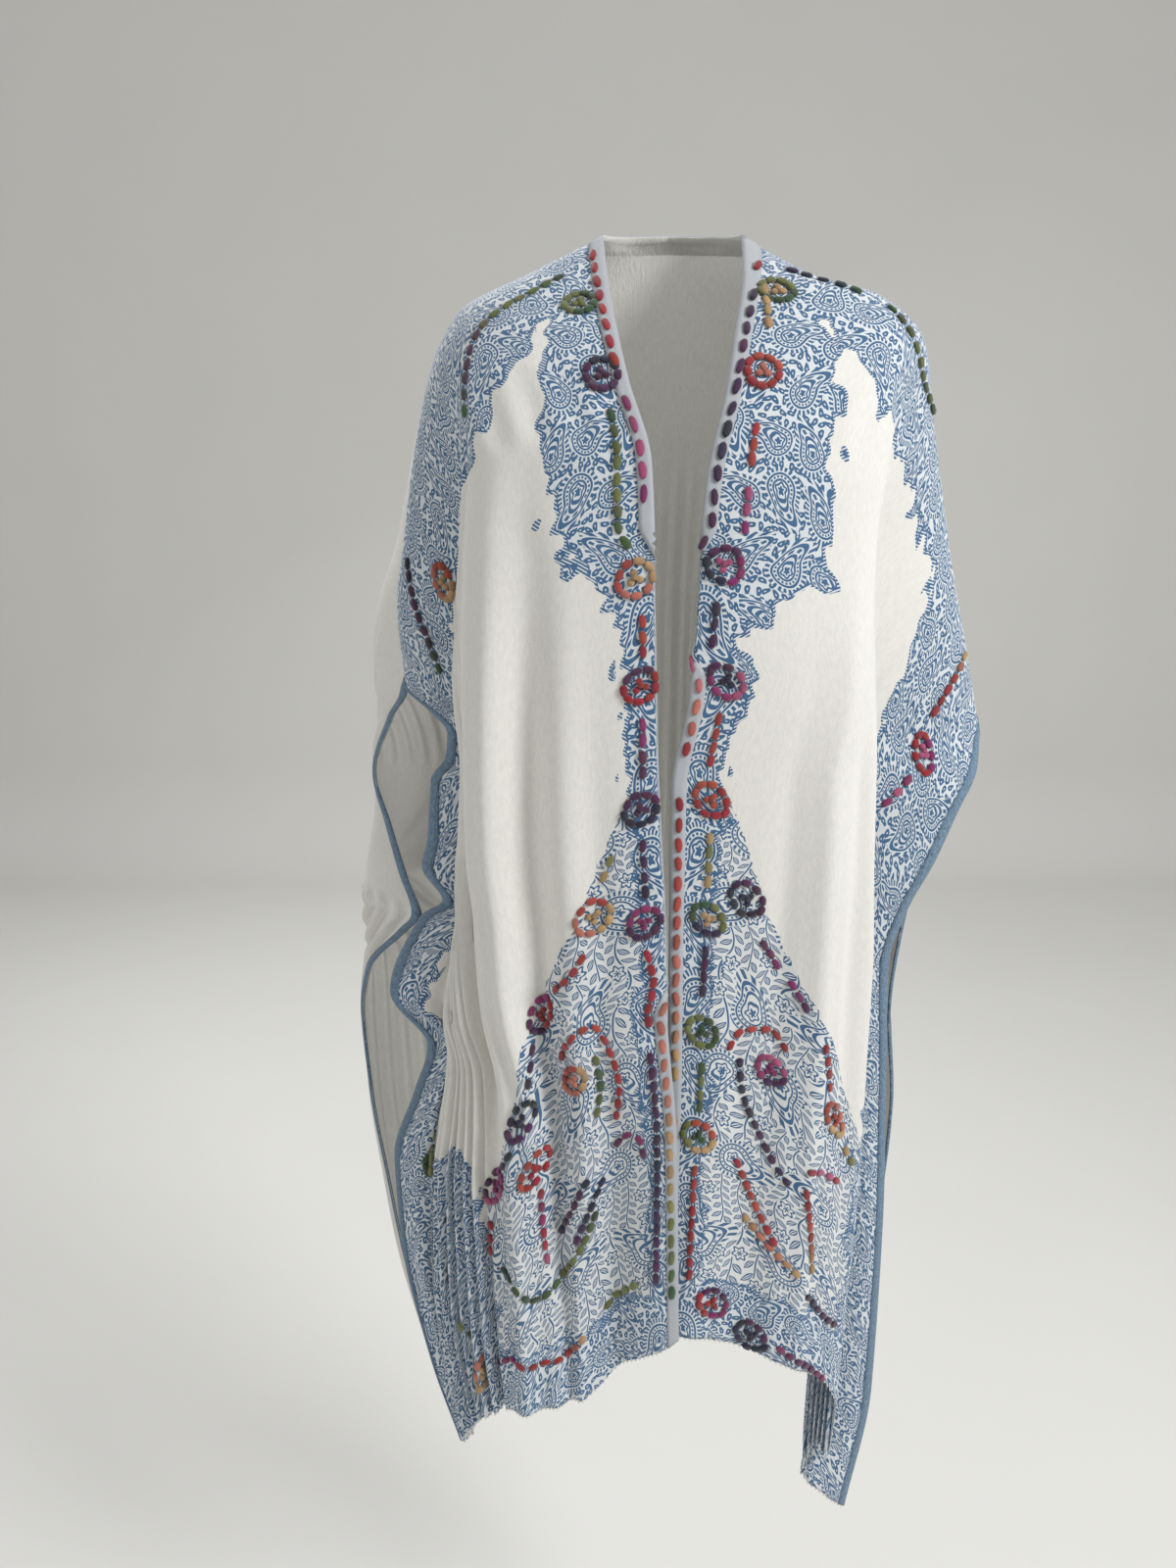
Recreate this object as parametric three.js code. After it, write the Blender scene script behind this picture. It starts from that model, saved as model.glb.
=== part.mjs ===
// Open-front kaftan of woven viscose, in the shape it takes on a standing figure.
// Millimetres, +Z up, -Y towards the front, +X to the viewer's right.
// The origin is on the middle of the figure, level with the two points where the shoulder seams meet the neck.
import * as THREE from "three";

// Walls and gaps
const CLOTH = 1.2; // wall of the woven cloth
const BAND = 1.0; // wall of a band that lies on the cloth
const GAP = 0.3; // between two pieces
const EDGING_GAP = 0.6; // under the edging, where the side edges turn sharply

// Flat sizes of the cut pieces
const FRONT_WIDTH = 465; // one front, from its front edge to its side edge
const NECK_HALF = 68; // half of the back neckline
const BACK_HALF = NECK_HALF + FRONT_WIDTH;
const NECKBAND = 11; // width of the twill band along the front edges and the neck
const EDGING = 12; // width of the marled edging along the side edges

// How finely the faceted cloth is cut
const FRONT_COLUMNS = 25;
const NECK_COLUMNS = 4;
const BACK_COLUMNS = 16;
const TACK_DROP = 0.27; // the rows lie closer together around the tacks
const TACK_ROWS = 8;
const HIP_DROP = 0.5;
const HIP_ROWS = 6;
const HEM_ROWS = 8;

// Shoulder line, seen from the front: height, cloth used since the neck, and distance from the middle.
const SHOULDER = {
  right: [
    { z: 3, along: 0, out: 51 },
    { z: -26, along: 62, out: 105 },
    { z: -41, along: 116, out: 157 },
    { z: -72, along: 161, out: 188 },
    { z: -143, along: 234, out: 203 },
    { z: -223, along: 316, out: 219 },
    { z: -315, along: 411, out: 241 },
    { z: -368, along: 465, out: 253 },
  ],
  left: [
    { z: 3, along: 0, out: 51 },
    { z: -24, along: 69, out: 106 },
    { z: -50, along: 134, out: 157 },
    { z: -82, along: 177, out: 176 },
    { z: -143, along: 248, out: 193 },
    { z: -216, along: 331, out: 205 },
    { z: -269, along: 391, out: 212 },
    { z: -334, along: 465, out: 207 },
  ],
};

// Front edges: height, distance past the middle on the panel's own side, and distance in front of the shoulders.
const FRONT_EDGE = {
  right: [
    { z: 3, out: 51, ahead: 0 },
    { z: -33, out: 47, ahead: 45 },
    { z: -76, out: 38, ahead: 80 },
    { z: -110, out: 32, ahead: 98 },
    { z: -179, out: 17, ahead: 118 },
    { z: -262, out: 12, ahead: 120 },
    { z: -322, out: 9, ahead: 118 },
    { z: -387, out: -2, ahead: 114 },
    { z: -496, out: -2, ahead: 110 },
    { z: -616, out: -1, ahead: 108 },
    { z: -850, out: -4, ahead: 106 },
  ],
  left: [
    { z: 3, out: 51, ahead: 0 },
    { z: -40, out: 47, ahead: 45 },
    { z: -76, out: 41, ahead: 80 },
    { z: -107, out: 34, ahead: 98 },
    { z: -160, out: 19, ahead: 116 },
    { z: -244, out: 15, ahead: 120 },
    { z: -369, out: 11, ahead: 119 },
    { z: -482, out: 5, ahead: 119 },
    { z: -557, out: 3, ahead: 119 },
    { z: -662, out: -6, ahead: 118 },
    { z: -850, out: -11, ahead: 117 },
  ],
};

// The fold that falls from the shoulder along the front of the arm: its outermost line, how far the cloth
// tucks back in behind it, how far behind it the sleeve part comes out again, and how much of it there is.
const ARM_FOLD = {
  right: [
    { z: 3, out: 51, ahead: 0, tuck: 0, behind: 1, share: 0 },
    { z: -72, out: 140, ahead: 48, tuck: 4, behind: 10, share: 0 },
    { z: -125, out: 151, ahead: 60, tuck: 8, behind: 14, share: 0.6 },
    { z: -220, out: 148, ahead: 66, tuck: 12, behind: 18, share: 1 },
    { z: -364, out: 155, ahead: 72, tuck: 22, behind: 22, share: 1 },
    { z: -473, out: 159, ahead: 70, tuck: 34, behind: 22, share: 1 },
    { z: -558, out: 164, ahead: 60, tuck: 34, behind: 22, share: 1 },
    { z: -700, out: 164, ahead: 56, tuck: 26, behind: 20, share: 1 },
    { z: -860, out: 158, ahead: 60, tuck: 22, behind: 18, share: 1 },
    { z: -1083, out: 150, ahead: 58, tuck: 20, behind: 16, share: 1 },
  ],
  left: [
    { z: 3, out: 51, ahead: 0, tuck: 0, behind: 1, share: 0 },
    { z: -82, out: 135, ahead: 50, tuck: 4, behind: 10, share: 0 },
    { z: -145, out: 147, ahead: 62, tuck: 8, behind: 14, share: 0.6 },
    { z: -220, out: 154, ahead: 70, tuck: 12, behind: 20, share: 1 },
    { z: -320, out: 161, ahead: 74, tuck: 18, behind: 24, share: 1 },
    { z: -379, out: 157, ahead: 77, tuck: 24, behind: 26, share: 1 },
    { z: -433, out: 159, ahead: 74, tuck: 22, behind: 24, share: 1 },
    { z: -500, out: 167, ahead: 66, tuck: 20, behind: 18, share: 0.9 },
    { z: -620, out: 180, ahead: 62, tuck: 16, behind: 14, share: 0.7 },
    { z: -860, out: 186, ahead: 66, tuck: 12, behind: 12, share: 0.6 },
    { z: -1003, out: 168, ahead: 62, tuck: 10, behind: 10, share: 0.6 },
  ],
};

// Side edges of the fronts, from the sleeve end down to the hem.
const FRONT_SIDE = {
  right: [
    { z: -368, out: 253, ahead: 0 },
    { z: -397, out: 244, ahead: 26 },
    { z: -418, out: 232, ahead: 36 },
    { z: -466, out: 212, ahead: 40 },
    { z: -507, out: 194, ahead: 36 },
    { z: -553, out: 184, ahead: 28 },
    { z: -660, out: 190, ahead: 18 },
    { z: -800, out: 194, ahead: 22 },
    { z: -960, out: 191, ahead: 30 },
    { z: -1083, out: 172, ahead: 34 },
  ],
  left: [
    { z: -334, out: 207, ahead: 0 },
    { z: -345, out: 186, ahead: 26 },
    { z: -361, out: 170, ahead: 38 },
    { z: -381, out: 172, ahead: 38 },
    { z: -401, out: 185, ahead: 30 },
    { z: -447, out: 188, ahead: 40 },
    { z: -469, out: 193, ahead: 41 },
    { z: -497, out: 177, ahead: 42 },
    { z: -515, out: 197, ahead: 30 },
    { z: -578, out: 223, ahead: 36 },
    { z: -622, out: 193, ahead: 40 },
    { z: -667, out: 206, ahead: 34 },
    { z: -731, out: 226, ahead: 30 },
    { z: -806, out: 223, ahead: 30 },
    { z: -920, out: 201, ahead: 36 },
    { z: -1003, out: 176, ahead: 40 },
  ],
};

// Middle of the back: height and distance behind the shoulders.
const BACK_MIDDLE = [
  { z: 12, behind: 52 },
  { z: 3, behind: 62 },
  { z: -40, behind: 90 },
  { z: -120, behind: 122 },
  { z: -220, behind: 138 },
  { z: -400, behind: 136 },
  { z: -620, behind: 140 },
  { z: -1060, behind: 146 },
];

// Half of the back neckline.
const BACK_NECK = [
  { z: 12, along: 0, out: 0, behind: 52 },
  { z: 10, along: 30, out: 29, behind: 45 },
  { z: 6, along: 56, out: 47, behind: 19 },
  { z: 3, along: NECK_HALF, out: 51, behind: 0 },
];

// Side edges of the back, and how far the cloth billows out beside them.
const BACK_SIDE = {
  right: [
    { z: 3, out: 51, behind: 0, billow: 0 },
    { z: -200, out: 215, behind: 0, billow: 4 },
    { z: -368, out: 253, behind: GAP / 2, billow: 8 },
    { z: -417, out: 247, behind: 20, billow: 10 },
    { z: -450, out: 237, behind: 22, billow: 14 },
    { z: -493, out: 217, behind: 20, billow: 20 },
    { z: -545, out: 202, behind: 8, billow: 24 },
    { z: -600, out: 192, behind: -10, billow: 20 },
    { z: -700, out: 200, behind: -6, billow: 10 },
    { z: -860, out: 191, behind: -4, billow: 8 },
    { z: -1060, out: 182, behind: 4, billow: 4 },
  ],
  left: [
    { z: 3, out: 51, behind: 0, billow: 0 },
    { z: -200, out: 202, behind: 0, billow: 18 },
    { z: -334, out: 207, behind: GAP / 2, billow: 48 },
    { z: -362, out: 224, behind: 30, billow: 30 },
    { z: -418, out: 246, behind: 60, billow: 12 },
    { z: -455, out: 232, behind: 42, billow: 32 },
    { z: -492, out: 214, behind: 8, billow: 60 },
    { z: -517, out: 199, behind: -20, billow: 82 },
    { z: -536, out: 212, behind: -2, billow: 66 },
    { z: -598, out: 258, behind: 55, billow: 14 },
    { z: -646, out: 268, behind: 72, billow: 10 },
    { z: -724, out: 264, behind: 76, billow: 12 },
    { z: -804, out: 252, behind: 70, billow: 14 },
    { z: -902, out: 232, behind: 52, billow: 18 },
    { z: -1020, out: 190, behind: 14, billow: 16 },
  ],
};

// Hems: how low the cloth hangs at each distance across the cloth from the front edge or the middle of the back.
const FRONT_HEM = {
  right: [
    { along: 0, z: -843 },
    { along: 57, z: -860 },
    { along: 101, z: -880 },
    { along: 140, z: -906 },
    { along: 168, z: -945 },
    { along: 222, z: -1012 },
    { along: 308, z: -1000 },
    { along: 399, z: -1036 },
    { along: 465, z: -1083 },
  ],
  left: [
    { along: 0, z: -843 },
    { along: 43, z: -868 },
    { along: 97, z: -910 },
    { along: 165, z: -922 },
    { along: 286, z: -948 },
    { along: 372, z: -975 },
    { along: 465, z: -1003 },
  ],
};
const BACK_HEM = {
  right: [
    { along: 0, z: -868 },
    { along: 200, z: -905 },
    { along: 380, z: -990 },
    { along: BACK_HALF, z: -1058 },
  ],
  left: [
    { along: 0, z: -868 },
    { along: 200, z: -900 },
    { along: 380, z: -962 },
    { along: BACK_HALF, z: -1018 },
  ],
};

// Soft folds: where the crest runs across the cloth at its top and at the hem, the part of the drop it
// takes up, half its width, and how far it stands out (minus for a trough).
const FOLDS = {
  front_right: [
    { top: 80, foot: 62, start: 0.3, end: 1.2, half: 27, out: -5 },
    { top: 129, foot: 120, start: 0.16, end: 1.2, half: 22, out: 6 },
    { top: 152, foot: 151, start: 0.1, end: 1.2, half: 15, out: -6 },
    { top: 28, foot: 26, start: 0.55, end: 1.3, half: 20, out: 3 },
    { top: 416, foot: 428, start: 0.05, end: 0.5, half: 30, out: 5 },
  ],
  front_left: [
    { top: 60, foot: 68, start: 0.62, end: 1.3, half: 26, out: -20 },
    { top: 94, foot: 130, start: 0.12, end: 1.1, half: 22, out: -8 },
    { top: 116, foot: 160, start: 0.1, end: 1.2, half: 19, out: 9 },
    { top: 140, foot: 190, start: 0.06, end: 1.2, half: 18, out: -9 },
    { top: 28, foot: 23, start: 0.5, end: 1.3, half: 20, out: 4 },
    { top: 390, foot: 414, start: 0.05, end: 0.6, half: 24, out: -5 },
  ],
  back_right: [
    { top: 0, foot: 0, start: 0, end: 1.3, half: 34, out: -10 },
    { top: 66, foot: 60, start: 0.02, end: 1.3, half: 28, out: 11 },
    { top: 130, foot: 122, start: 0, end: 1.3, half: 30, out: -13 },
    { top: 196, foot: 190, start: 0.04, end: 1.3, half: 28, out: 12 },
    { top: 262, foot: 256, start: 0, end: 1.3, half: 30, out: -14 },
    { top: 328, foot: 324, start: 0.03, end: 1.3, half: 28, out: 12 },
    { top: 392, foot: 388, start: 0.08, end: 1.3, half: 28, out: -9 },
  ],
  back_left: [
    { top: 0, foot: 0, start: 0, end: 1.3, half: 34, out: -10 },
    { top: 72, foot: 60, start: 0.03, end: 1.3, half: 30, out: 12 },
    { top: 142, foot: 126, start: 0, end: 1.3, half: 28, out: -11 },
    { top: 206, foot: 196, start: 0.05, end: 1.3, half: 30, out: 13 },
    { top: 276, foot: 268, start: 0, end: 1.3, half: 30, out: -12 },
    { top: 344, foot: 330, start: 0.04, end: 1.3, half: 30, out: 11 },
    { top: 410, foot: 396, start: 0.1, end: 1.3, half: 28, out: -9 },
  ],
};

// The row at which the side edges are tacked together.
const TACK_ROW = { right: TACK_ROWS + 2, left: TACK_ROWS };
const TACK_RADIUS = 1.2;
const TACK_CLEARANCE = 1.1; // from each edge, because the bar meets the cloth at a slant

const SIGN = { right: 1, left: -1 };
const SECTION_STEPS = 64;
const clamp = (value, low, high) => Math.min(high, Math.max(low, value));
const mix = (a, b, t) => a + (b - a) * t;
const smooth = (t) => {
  const s = clamp(t, 0, 1);
  return s * s * (3 - 2 * s);
};

// A column of a table as a smooth function of another column, with no overshoot between its rows.
function track(rows, key, column) {
  const sorted = [...rows].sort((a, b) => a[key] - b[key]);
  const at = sorted.map((row) => row[key]);
  const value = sorted.map((row) => row[column]);
  const last = at.length - 1;
  const rise = at.slice(1).map((a, i) => (value[i + 1] - value[i]) / (a - at[i]));
  const slope = at.map((_, i) => {
    if (i === 0 || i === last) return rise[Math.min(i, last - 1)];
    const [before, after] = [rise[i - 1], rise[i]];
    return before * after <= 0 ? 0 : (2 * before * after) / (before + after);
  });
  return (x) => {
    if (x <= at[0]) return value[0];
    if (x >= at[last]) return value[last];
    let i = 0;
    while (x > at[i + 1]) i += 1;
    const h = at[i + 1] - at[i];
    const t = (x - at[i]) / h;
    const [t2, t3] = [t * t, t * t * t];
    return (
      (2 * t3 - 3 * t2 + 1) * value[i] +
      (t3 - 2 * t2 + t) * h * slope[i] +
      (3 * t2 - 2 * t3) * value[i + 1] +
      (t3 - t2) * h * slope[i + 1]
    );
  };
}

const tracks = (rows, key, columns) =>
  Object.fromEntries(columns.map((column) => [column, track(rows, key, column)]));

// The height at which a falling track reaches a value, found by halving.
function heightWhere(along, value, top, bottom) {
  let [high, low] = [top, bottom];
  for (let i = 0; i < 40; i += 1) {
    const middle = (high + low) / 2;
    if (along(middle) < value) high = middle;
    else low = middle;
  }
  return (high + low) / 2;
}

// Length of a quarter of an ellipse.
const quarter = (a, b) => (Math.PI / 4) * (3 * (a + b) - Math.sqrt((3 * a + b) * (a + 3 * b)));

// A cross-section of the cloth, measured in short straight steps: its length, the way covered at each share
// of it, and the share at which a way has been covered.
function measured(section) {
  const way = [0];
  let last = section(0);
  for (let i = 1; i <= SECTION_STEPS; i += 1) {
    const next = section(i / SECTION_STEPS);
    way.push(way[i - 1] + Math.hypot(next[0] - last[0], next[1] - last[1]));
    last = next;
  }
  const between = (i, t) => mix(way[i], way[Math.min(i + 1, SECTION_STEPS)], t);
  return {
    length: way[SECTION_STEPS],
    wayAt: (share) => between(Math.floor(share * SECTION_STEPS), (share * SECTION_STEPS) % 1),
    shareAt: (wanted) => {
      let i = 0;
      while (i < SECTION_STEPS - 1 && way[i + 1] < wanted) i += 1;
      return clamp((i + (wanted - way[i]) / Math.max(way[i + 1] - way[i], 1e-9)) / SECTION_STEPS, 0, 1);
    },
  };
}

// How far the folds of a panel stand out at a place on the cloth.
function foldHeight(folds, along, drop) {
  let height = 0;
  for (const fold of folds) {
    const crest = mix(fold.top, fold.foot, drop);
    const across = Math.exp(-(((along - crest) / fold.half) ** 2));
    const down = smooth((drop - fold.start) / 0.35) * (1 - smooth((drop - fold.end + 0.2) / 0.2));
    height += fold.out * across * down;
  }
  return height;
}

// One front: a function from a place on the flat cloth (along from the front edge, drop 0 at the shoulder
// line to 1 at the hem) to a point in the air.
function frontCloth(side) {
  const shoulder = tracks(SHOULDER[side], "z", ["along", "out"]);
  const edge = tracks(FRONT_EDGE[side], "z", ["out", "ahead"]);
  const fold = tracks(ARM_FOLD[side], "z", ["out", "ahead", "tuck", "behind", "share"]);
  const sideEdge = tracks(FRONT_SIDE[side], "z", ["out", "ahead"]);
  const hem = track(FRONT_HEM[side], "along", "z");
  const neckZ = SHOULDER[side][0].z;
  const sleeveZ = SHOULDER[side].at(-1).z;
  const topOf = (along) => heightWhere(shoulder.along, along, neckZ, sleeveZ);

  return (along, drop) => {
    const z = mix(topOf(along), hem(along), drop);
    const onShoulder = z > sleeveZ;
    const width = onShoulder ? Math.max(shoulder.along(z), along) : FRONT_WIDTH;
    const E = [edge.out(z), Math.max(edge.ahead(z), GAP / 2)];
    const O = onShoulder ? [shoulder.out(z), GAP / 2] : [sideEdge.out(z), Math.max(sideEdge.ahead(z), GAP / 2)];
    const F = [fold.out(z), fold.ahead(z)];
    const V = [F[0] - fold.tuck(z), F[1] - fold.behind(z)];
    const body = quarter(Math.abs(F[0] - E[0]), Math.abs(E[1] - F[1]));
    const sleeve = 1.12 * Math.hypot(O[0] - V[0], O[1] - V[1]);
    const hidden = Math.max(1.1 * Math.hypot(fold.tuck(z), fold.behind(z)), width - body - sleeve);
    const whole = body + sleeve + hidden;
    const share = fold.share(z);
    const section = (part) => {
      const angle = (part * Math.PI) / 2;
      const fullness = Math.cos(angle) * (1.35 - 0.35 * Math.cos(angle));
      const plain = [mix(E[0], O[0], Math.sin(angle)), mix(O[1], E[1], fullness)];
      const used = part * whole;
      let pleated;
      if (used < body) {
        const a = (used / body) * (Math.PI / 2);
        pleated = [mix(E[0], F[0], Math.sin(a)), mix(F[1], E[1], Math.cos(a))];
      } else if (used < body + hidden) {
        const t = (used - body) / hidden;
        pleated = [mix(V[0], F[0], (1 + Math.cos(Math.PI * t)) / 2), mix(F[1], V[1], t)];
      } else {
        const t = clamp((used - body - hidden) / sleeve, 0, 1);
        const round = 6 * Math.sin(Math.PI * t);
        pleated = [mix(V[0], O[0], (1 - Math.cos(Math.PI * t)) / 2), mix(V[1], O[1], t) + round];
      }
      return [mix(plain[0], pleated[0], share), mix(plain[1], pleated[1], share)];
    };

    // The cloth lies at its full width from either edge, and what is over is gathered in the tuck.
    const across = measured(section);
    const beforeTuck = across.wayAt(body / whole);
    const afterTuck = across.length - across.wayAt((body + hidden) / whole);
    const even = width > 0 ? (along / width) * across.length : 0;
    let way = even;
    if (beforeTuck + afterTuck < width) {
      const inTuck = (along - beforeTuck) / (width - beforeTuck - afterTuck);
      const gathered = mix(beforeTuck, across.length - afterTuck, clamp(inTuck, 0, 1));
      const fromSide = Math.max(across.length - (width - along), across.length - afterTuck);
      way = mix(even, inTuck < 0 ? along : inTuck > 1 ? fromSide : gathered, share);
    }
    const [x, y] = section(across.shareAt(way));
    return new THREE.Vector3(SIGN[side] * x, -y, z);
  };
}

// Half of the back, in the same way, from the middle of the back.
function backCloth(side) {
  const neckEnd = BACK_NECK.at(-1);
  const shoulderRows = SHOULDER[side]
    .slice(1)
    .map((row) => ({ ...row, along: row.along + NECK_HALF, behind: GAP / 2 }));
  const topEdge = tracks([...BACK_NECK.slice(0, -1), { ...neckEnd, behind: GAP / 2 }, ...shoulderRows], "z", [
    "along",
    "out",
    "behind",
  ]);
  const middle = track(BACK_MIDDLE, "z", "behind");
  const sideEdge = tracks(BACK_SIDE[side], "z", ["out", "behind", "billow"]);
  const hem = track(BACK_HEM[side], "along", "z");
  const neckZ = BACK_NECK[0].z;
  const sleeveZ = SHOULDER[side].at(-1).z;
  const topOf = (along) => heightWhere(topEdge.along, along, neckZ, sleeveZ);

  return (along, drop) => {
    const z = mix(topOf(along), hem(along), drop);
    const onShoulder = z > sleeveZ;
    const width = onShoulder ? Math.max(topEdge.along(z), along) : BACK_HALF;
    const O = onShoulder ? [topEdge.out(z), topEdge.behind(z)] : [sideEdge.out(z), sideEdge.behind(z)];
    const section = (part) => {
      const angle = (part * Math.PI) / 2;
      const fullness = Math.cos(angle) * (1.4 - 0.4 * Math.cos(angle));
      const billow = sideEdge.billow(z) * Math.sin(Math.PI * part * part);
      return [O[0] * Math.sin(angle) + billow, mix(O[1], middle(z), fullness)];
    };
    const across = measured(section);
    const [x, y] = section(across.shareAt(width > 0 ? (along / width) * across.length : 0));
    return new THREE.Vector3(SIGN[side] * x, y, z);
  };
}

// A grid of cloth points with the directions that face out of the garment.
function clothGrid(cloth, columns, rows, foldAt, outward) {
  const points = columns.map((along) => rows.map((drop) => cloth(along, drop)));
  const directions = () =>
    points.map((column, i) =>
      column.map((_, j) => {
        const across = points[Math.min(i + 1, columns.length - 1)][j]
          .clone()
          .sub(points[Math.max(i - 1, 0)][j]);
        const down = column[Math.min(j + 1, rows.length - 1)].clone().sub(column[Math.max(j - 1, 0)]);
        const normal = across.cross(down).multiplyScalar(outward);
        if (j === 0 && Math.abs(column[0].y) <= GAP) normal.y = 0; // both cloths of the shoulder seam end in one plane
        return normal.normalize();
      }),
    );
  const base = directions();
  points.forEach((column, i) =>
    column.forEach((point, j) => {
      point.addScaledVector(base[i][j], foldAt(columns[i], rows[j]));
    }),
  );
  return { points, normals: directions() };
}

// A closed wall over a patch of a grid, from one distance off the cloth's middle surface to another.
function wall(name, grid, patch, low, high, material) {
  const { columns = [0, grid.points.length - 1], rows = [0, grid.points[0].length - 1] } = patch;
  const across = columns[1] - columns[0] + 1;
  const down = rows[1] - rows[0] + 1;
  const positions = [];
  for (const lift of [high, low]) {
    for (let i = columns[0]; i <= columns[1]; i += 1) {
      for (let j = rows[0]; j <= rows[1]; j += 1) {
        const point = grid.points[i][j].clone().addScaledVector(grid.normals[i][j], lift);
        positions.push(point.x, point.y, point.z);
      }
    }
  }
  const layer = across * down;
  const at = (i, j, side) => side * layer + i * down + j;
  const faces = [];
  const quad = (a, b, c, d) => faces.push(a, b, c, a, c, d);
  for (let i = 0; i < across - 1; i += 1) {
    for (let j = 0; j < down - 1; j += 1) {
      quad(at(i, j, 0), at(i + 1, j, 0), at(i + 1, j + 1, 0), at(i, j + 1, 0));
      quad(at(i, j, 1), at(i, j + 1, 1), at(i + 1, j + 1, 1), at(i + 1, j, 1));
    }
    quad(at(i, 0, 0), at(i, 0, 1), at(i + 1, 0, 1), at(i + 1, 0, 0));
    quad(at(i, down - 1, 0), at(i + 1, down - 1, 0), at(i + 1, down - 1, 1), at(i, down - 1, 1));
  }
  for (let j = 0; j < down - 1; j += 1) {
    quad(at(0, j, 0), at(0, j + 1, 0), at(0, j + 1, 1), at(0, j, 1));
    quad(at(across - 1, j, 0), at(across - 1, j, 1), at(across - 1, j + 1, 1), at(across - 1, j + 1, 0));
  }
  return closedMesh(name, positions, faces, material);
}

// A mesh whose faces point out, whichever way they were listed.
function closedMesh(name, positions, faces, material) {
  const corner = (k) => new THREE.Vector3().fromArray(positions, 3 * k);
  let volume = 0;
  for (let f = 0; f < faces.length; f += 3) {
    volume += corner(faces[f]).dot(corner(faces[f + 1]).cross(corner(faces[f + 2])));
  }
  const geometry = new THREE.BufferGeometry();
  geometry.setAttribute("position", new THREE.Float32BufferAttribute(positions, 3));
  geometry.setIndex(volume > 0 ? faces : [...faces].reverse());
  geometry.computeVertexNormals();
  const mesh = new THREE.Mesh(geometry, material);
  mesh.name = name;
  return mesh;
}

// Where one column of a grid passes a height.
function columnAt(column, z) {
  const j = column.findIndex((point) => point.z < z);
  const [above, below] = [column[j - 1], column[j]];
  return above.clone().lerp(below, (above.z - z) / (above.z - below.z));
}

// A round bar of thread between two points, just clear of the cloth at both ends.
function threadBar(name, from, to, radius, material) {
  const length = from.distanceTo(to) - 2 * TACK_CLEARANCE;
  const bar = new THREE.Mesh(new THREE.CylinderGeometry(radius, radius, length, 10), material);
  bar.name = name;
  bar.position.copy(from).lerp(to, 0.5);
  bar.quaternion.setFromUnitVectors(new THREE.Vector3(0, 1, 0), to.clone().sub(from).normalize());
  return bar;
}

const fabric = (color) => new THREE.MeshStandardMaterial({ color, roughness: 0.85, metalness: 0 });
const MATERIALS = {
  cloth: fabric(0xece9e0),
  twill: fabric(0xbec3cd),
  marl: fabric(0x5f87b4),
  thread: fabric(0x2d2340),
};
const steps = (from, to, count) => Array.from({ length: count + 1 }, (_, i) => mix(from, to, i / count));
const BAND_LOW = CLOTH / 2 + GAP;
const BAND_HIGH = BAND_LOW + BAND;
const EDGING_LOW = CLOTH / 2 + EDGING_GAP;
const EDGING_HIGH = EDGING_LOW + BAND;
const NECKBAND_DROP = NECKBAND / 880; // the twill band's share of the back's length
const clothRows = (first) => [
  ...steps(first, TACK_DROP, TACK_ROWS),
  ...steps(TACK_DROP, HIP_DROP, HIP_ROWS).slice(1),
  ...steps(HIP_DROP, 1, HEM_ROWS).slice(1),
];
const garment = new THREE.Group();

// Back: one piece from side edge to side edge, with the twill band on its neckline and edging on its sides
const backHalf = [
  ...steps(0, NECK_HALF, NECK_COLUMNS),
  ...steps(NECK_HALF, BACK_HALF - EDGING, BACK_COLUMNS).slice(1),
  BACK_HALF,
];
const backColumns = [...backHalf.slice(1).reverse().map((along) => -along), ...backHalf];
const backRows = [0, ...clothRows(NECKBAND_DROP)];
const halves = { right: backCloth("right"), left: backCloth("left") };
const halfOf = (along) => (along < 0 ? "left" : "right");
const back = clothGrid(
  (along, drop) => halves[halfOf(along)](Math.abs(along), drop),
  backColumns,
  backRows,
  (along, drop) => foldHeight(FOLDS[`back_${halfOf(along)}`], Math.abs(along), drop),
  1,
);
const middleColumn = backHalf.length - 1;
const lastColumn = backColumns.length - 1;
garment.add(
  wall("back", back, {}, -CLOTH / 2, CLOTH / 2, MATERIALS.cloth),
  wall(
    "neckband_back",
    back,
    { columns: [middleColumn - NECK_COLUMNS, middleColumn + NECK_COLUMNS], rows: [0, 1] },
    BAND_LOW,
    BAND_HIGH,
    MATERIALS.twill,
  ),
);

// Fronts, each with the twill band on its front edge, edging on its side edge, and a tack to the back
const frontColumns = [0, ...steps(NECKBAND, FRONT_WIDTH - EDGING, FRONT_COLUMNS - 2), FRONT_WIDTH];
const sideColumn = frontColumns.length - 1;
for (const side of ["right", "left"]) {
  const front = clothGrid(
    frontCloth(side),
    frontColumns,
    clothRows(0),
    (along, drop) => foldHeight(FOLDS[`front_${side}`], along, drop),
    -SIGN[side],
  );
  const backEdge = side === "left" ? 0 : lastColumn;
  const backEdging = side === "left" ? [0, 1] : [lastColumn - 1, lastColumn];
  const sideEdging = { columns: [sideColumn - 1, sideColumn] };
  const tackPoint = back.points[backEdge][TACK_ROW[side] + 1];
  garment.add(
    wall(`front_${side}`, front, {}, -CLOTH / 2, CLOTH / 2, MATERIALS.cloth),
    wall(`neckband_${side}`, front, { columns: [0, 1] }, BAND_LOW, BAND_HIGH, MATERIALS.twill),
    wall(`side_edging_front_${side}`, front, sideEdging, EDGING_LOW, EDGING_HIGH, MATERIALS.marl),
    wall(`side_edging_back_${side}`, back, { columns: backEdging }, EDGING_LOW, EDGING_HIGH, MATERIALS.marl),
    threadBar(
      `side_tack_${side}`,
      columnAt(front.points[sideColumn], tackPoint.z),
      tackPoint,
      TACK_RADIUS,
      MATERIALS.thread,
    ),
  );
}

export default garment;
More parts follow.
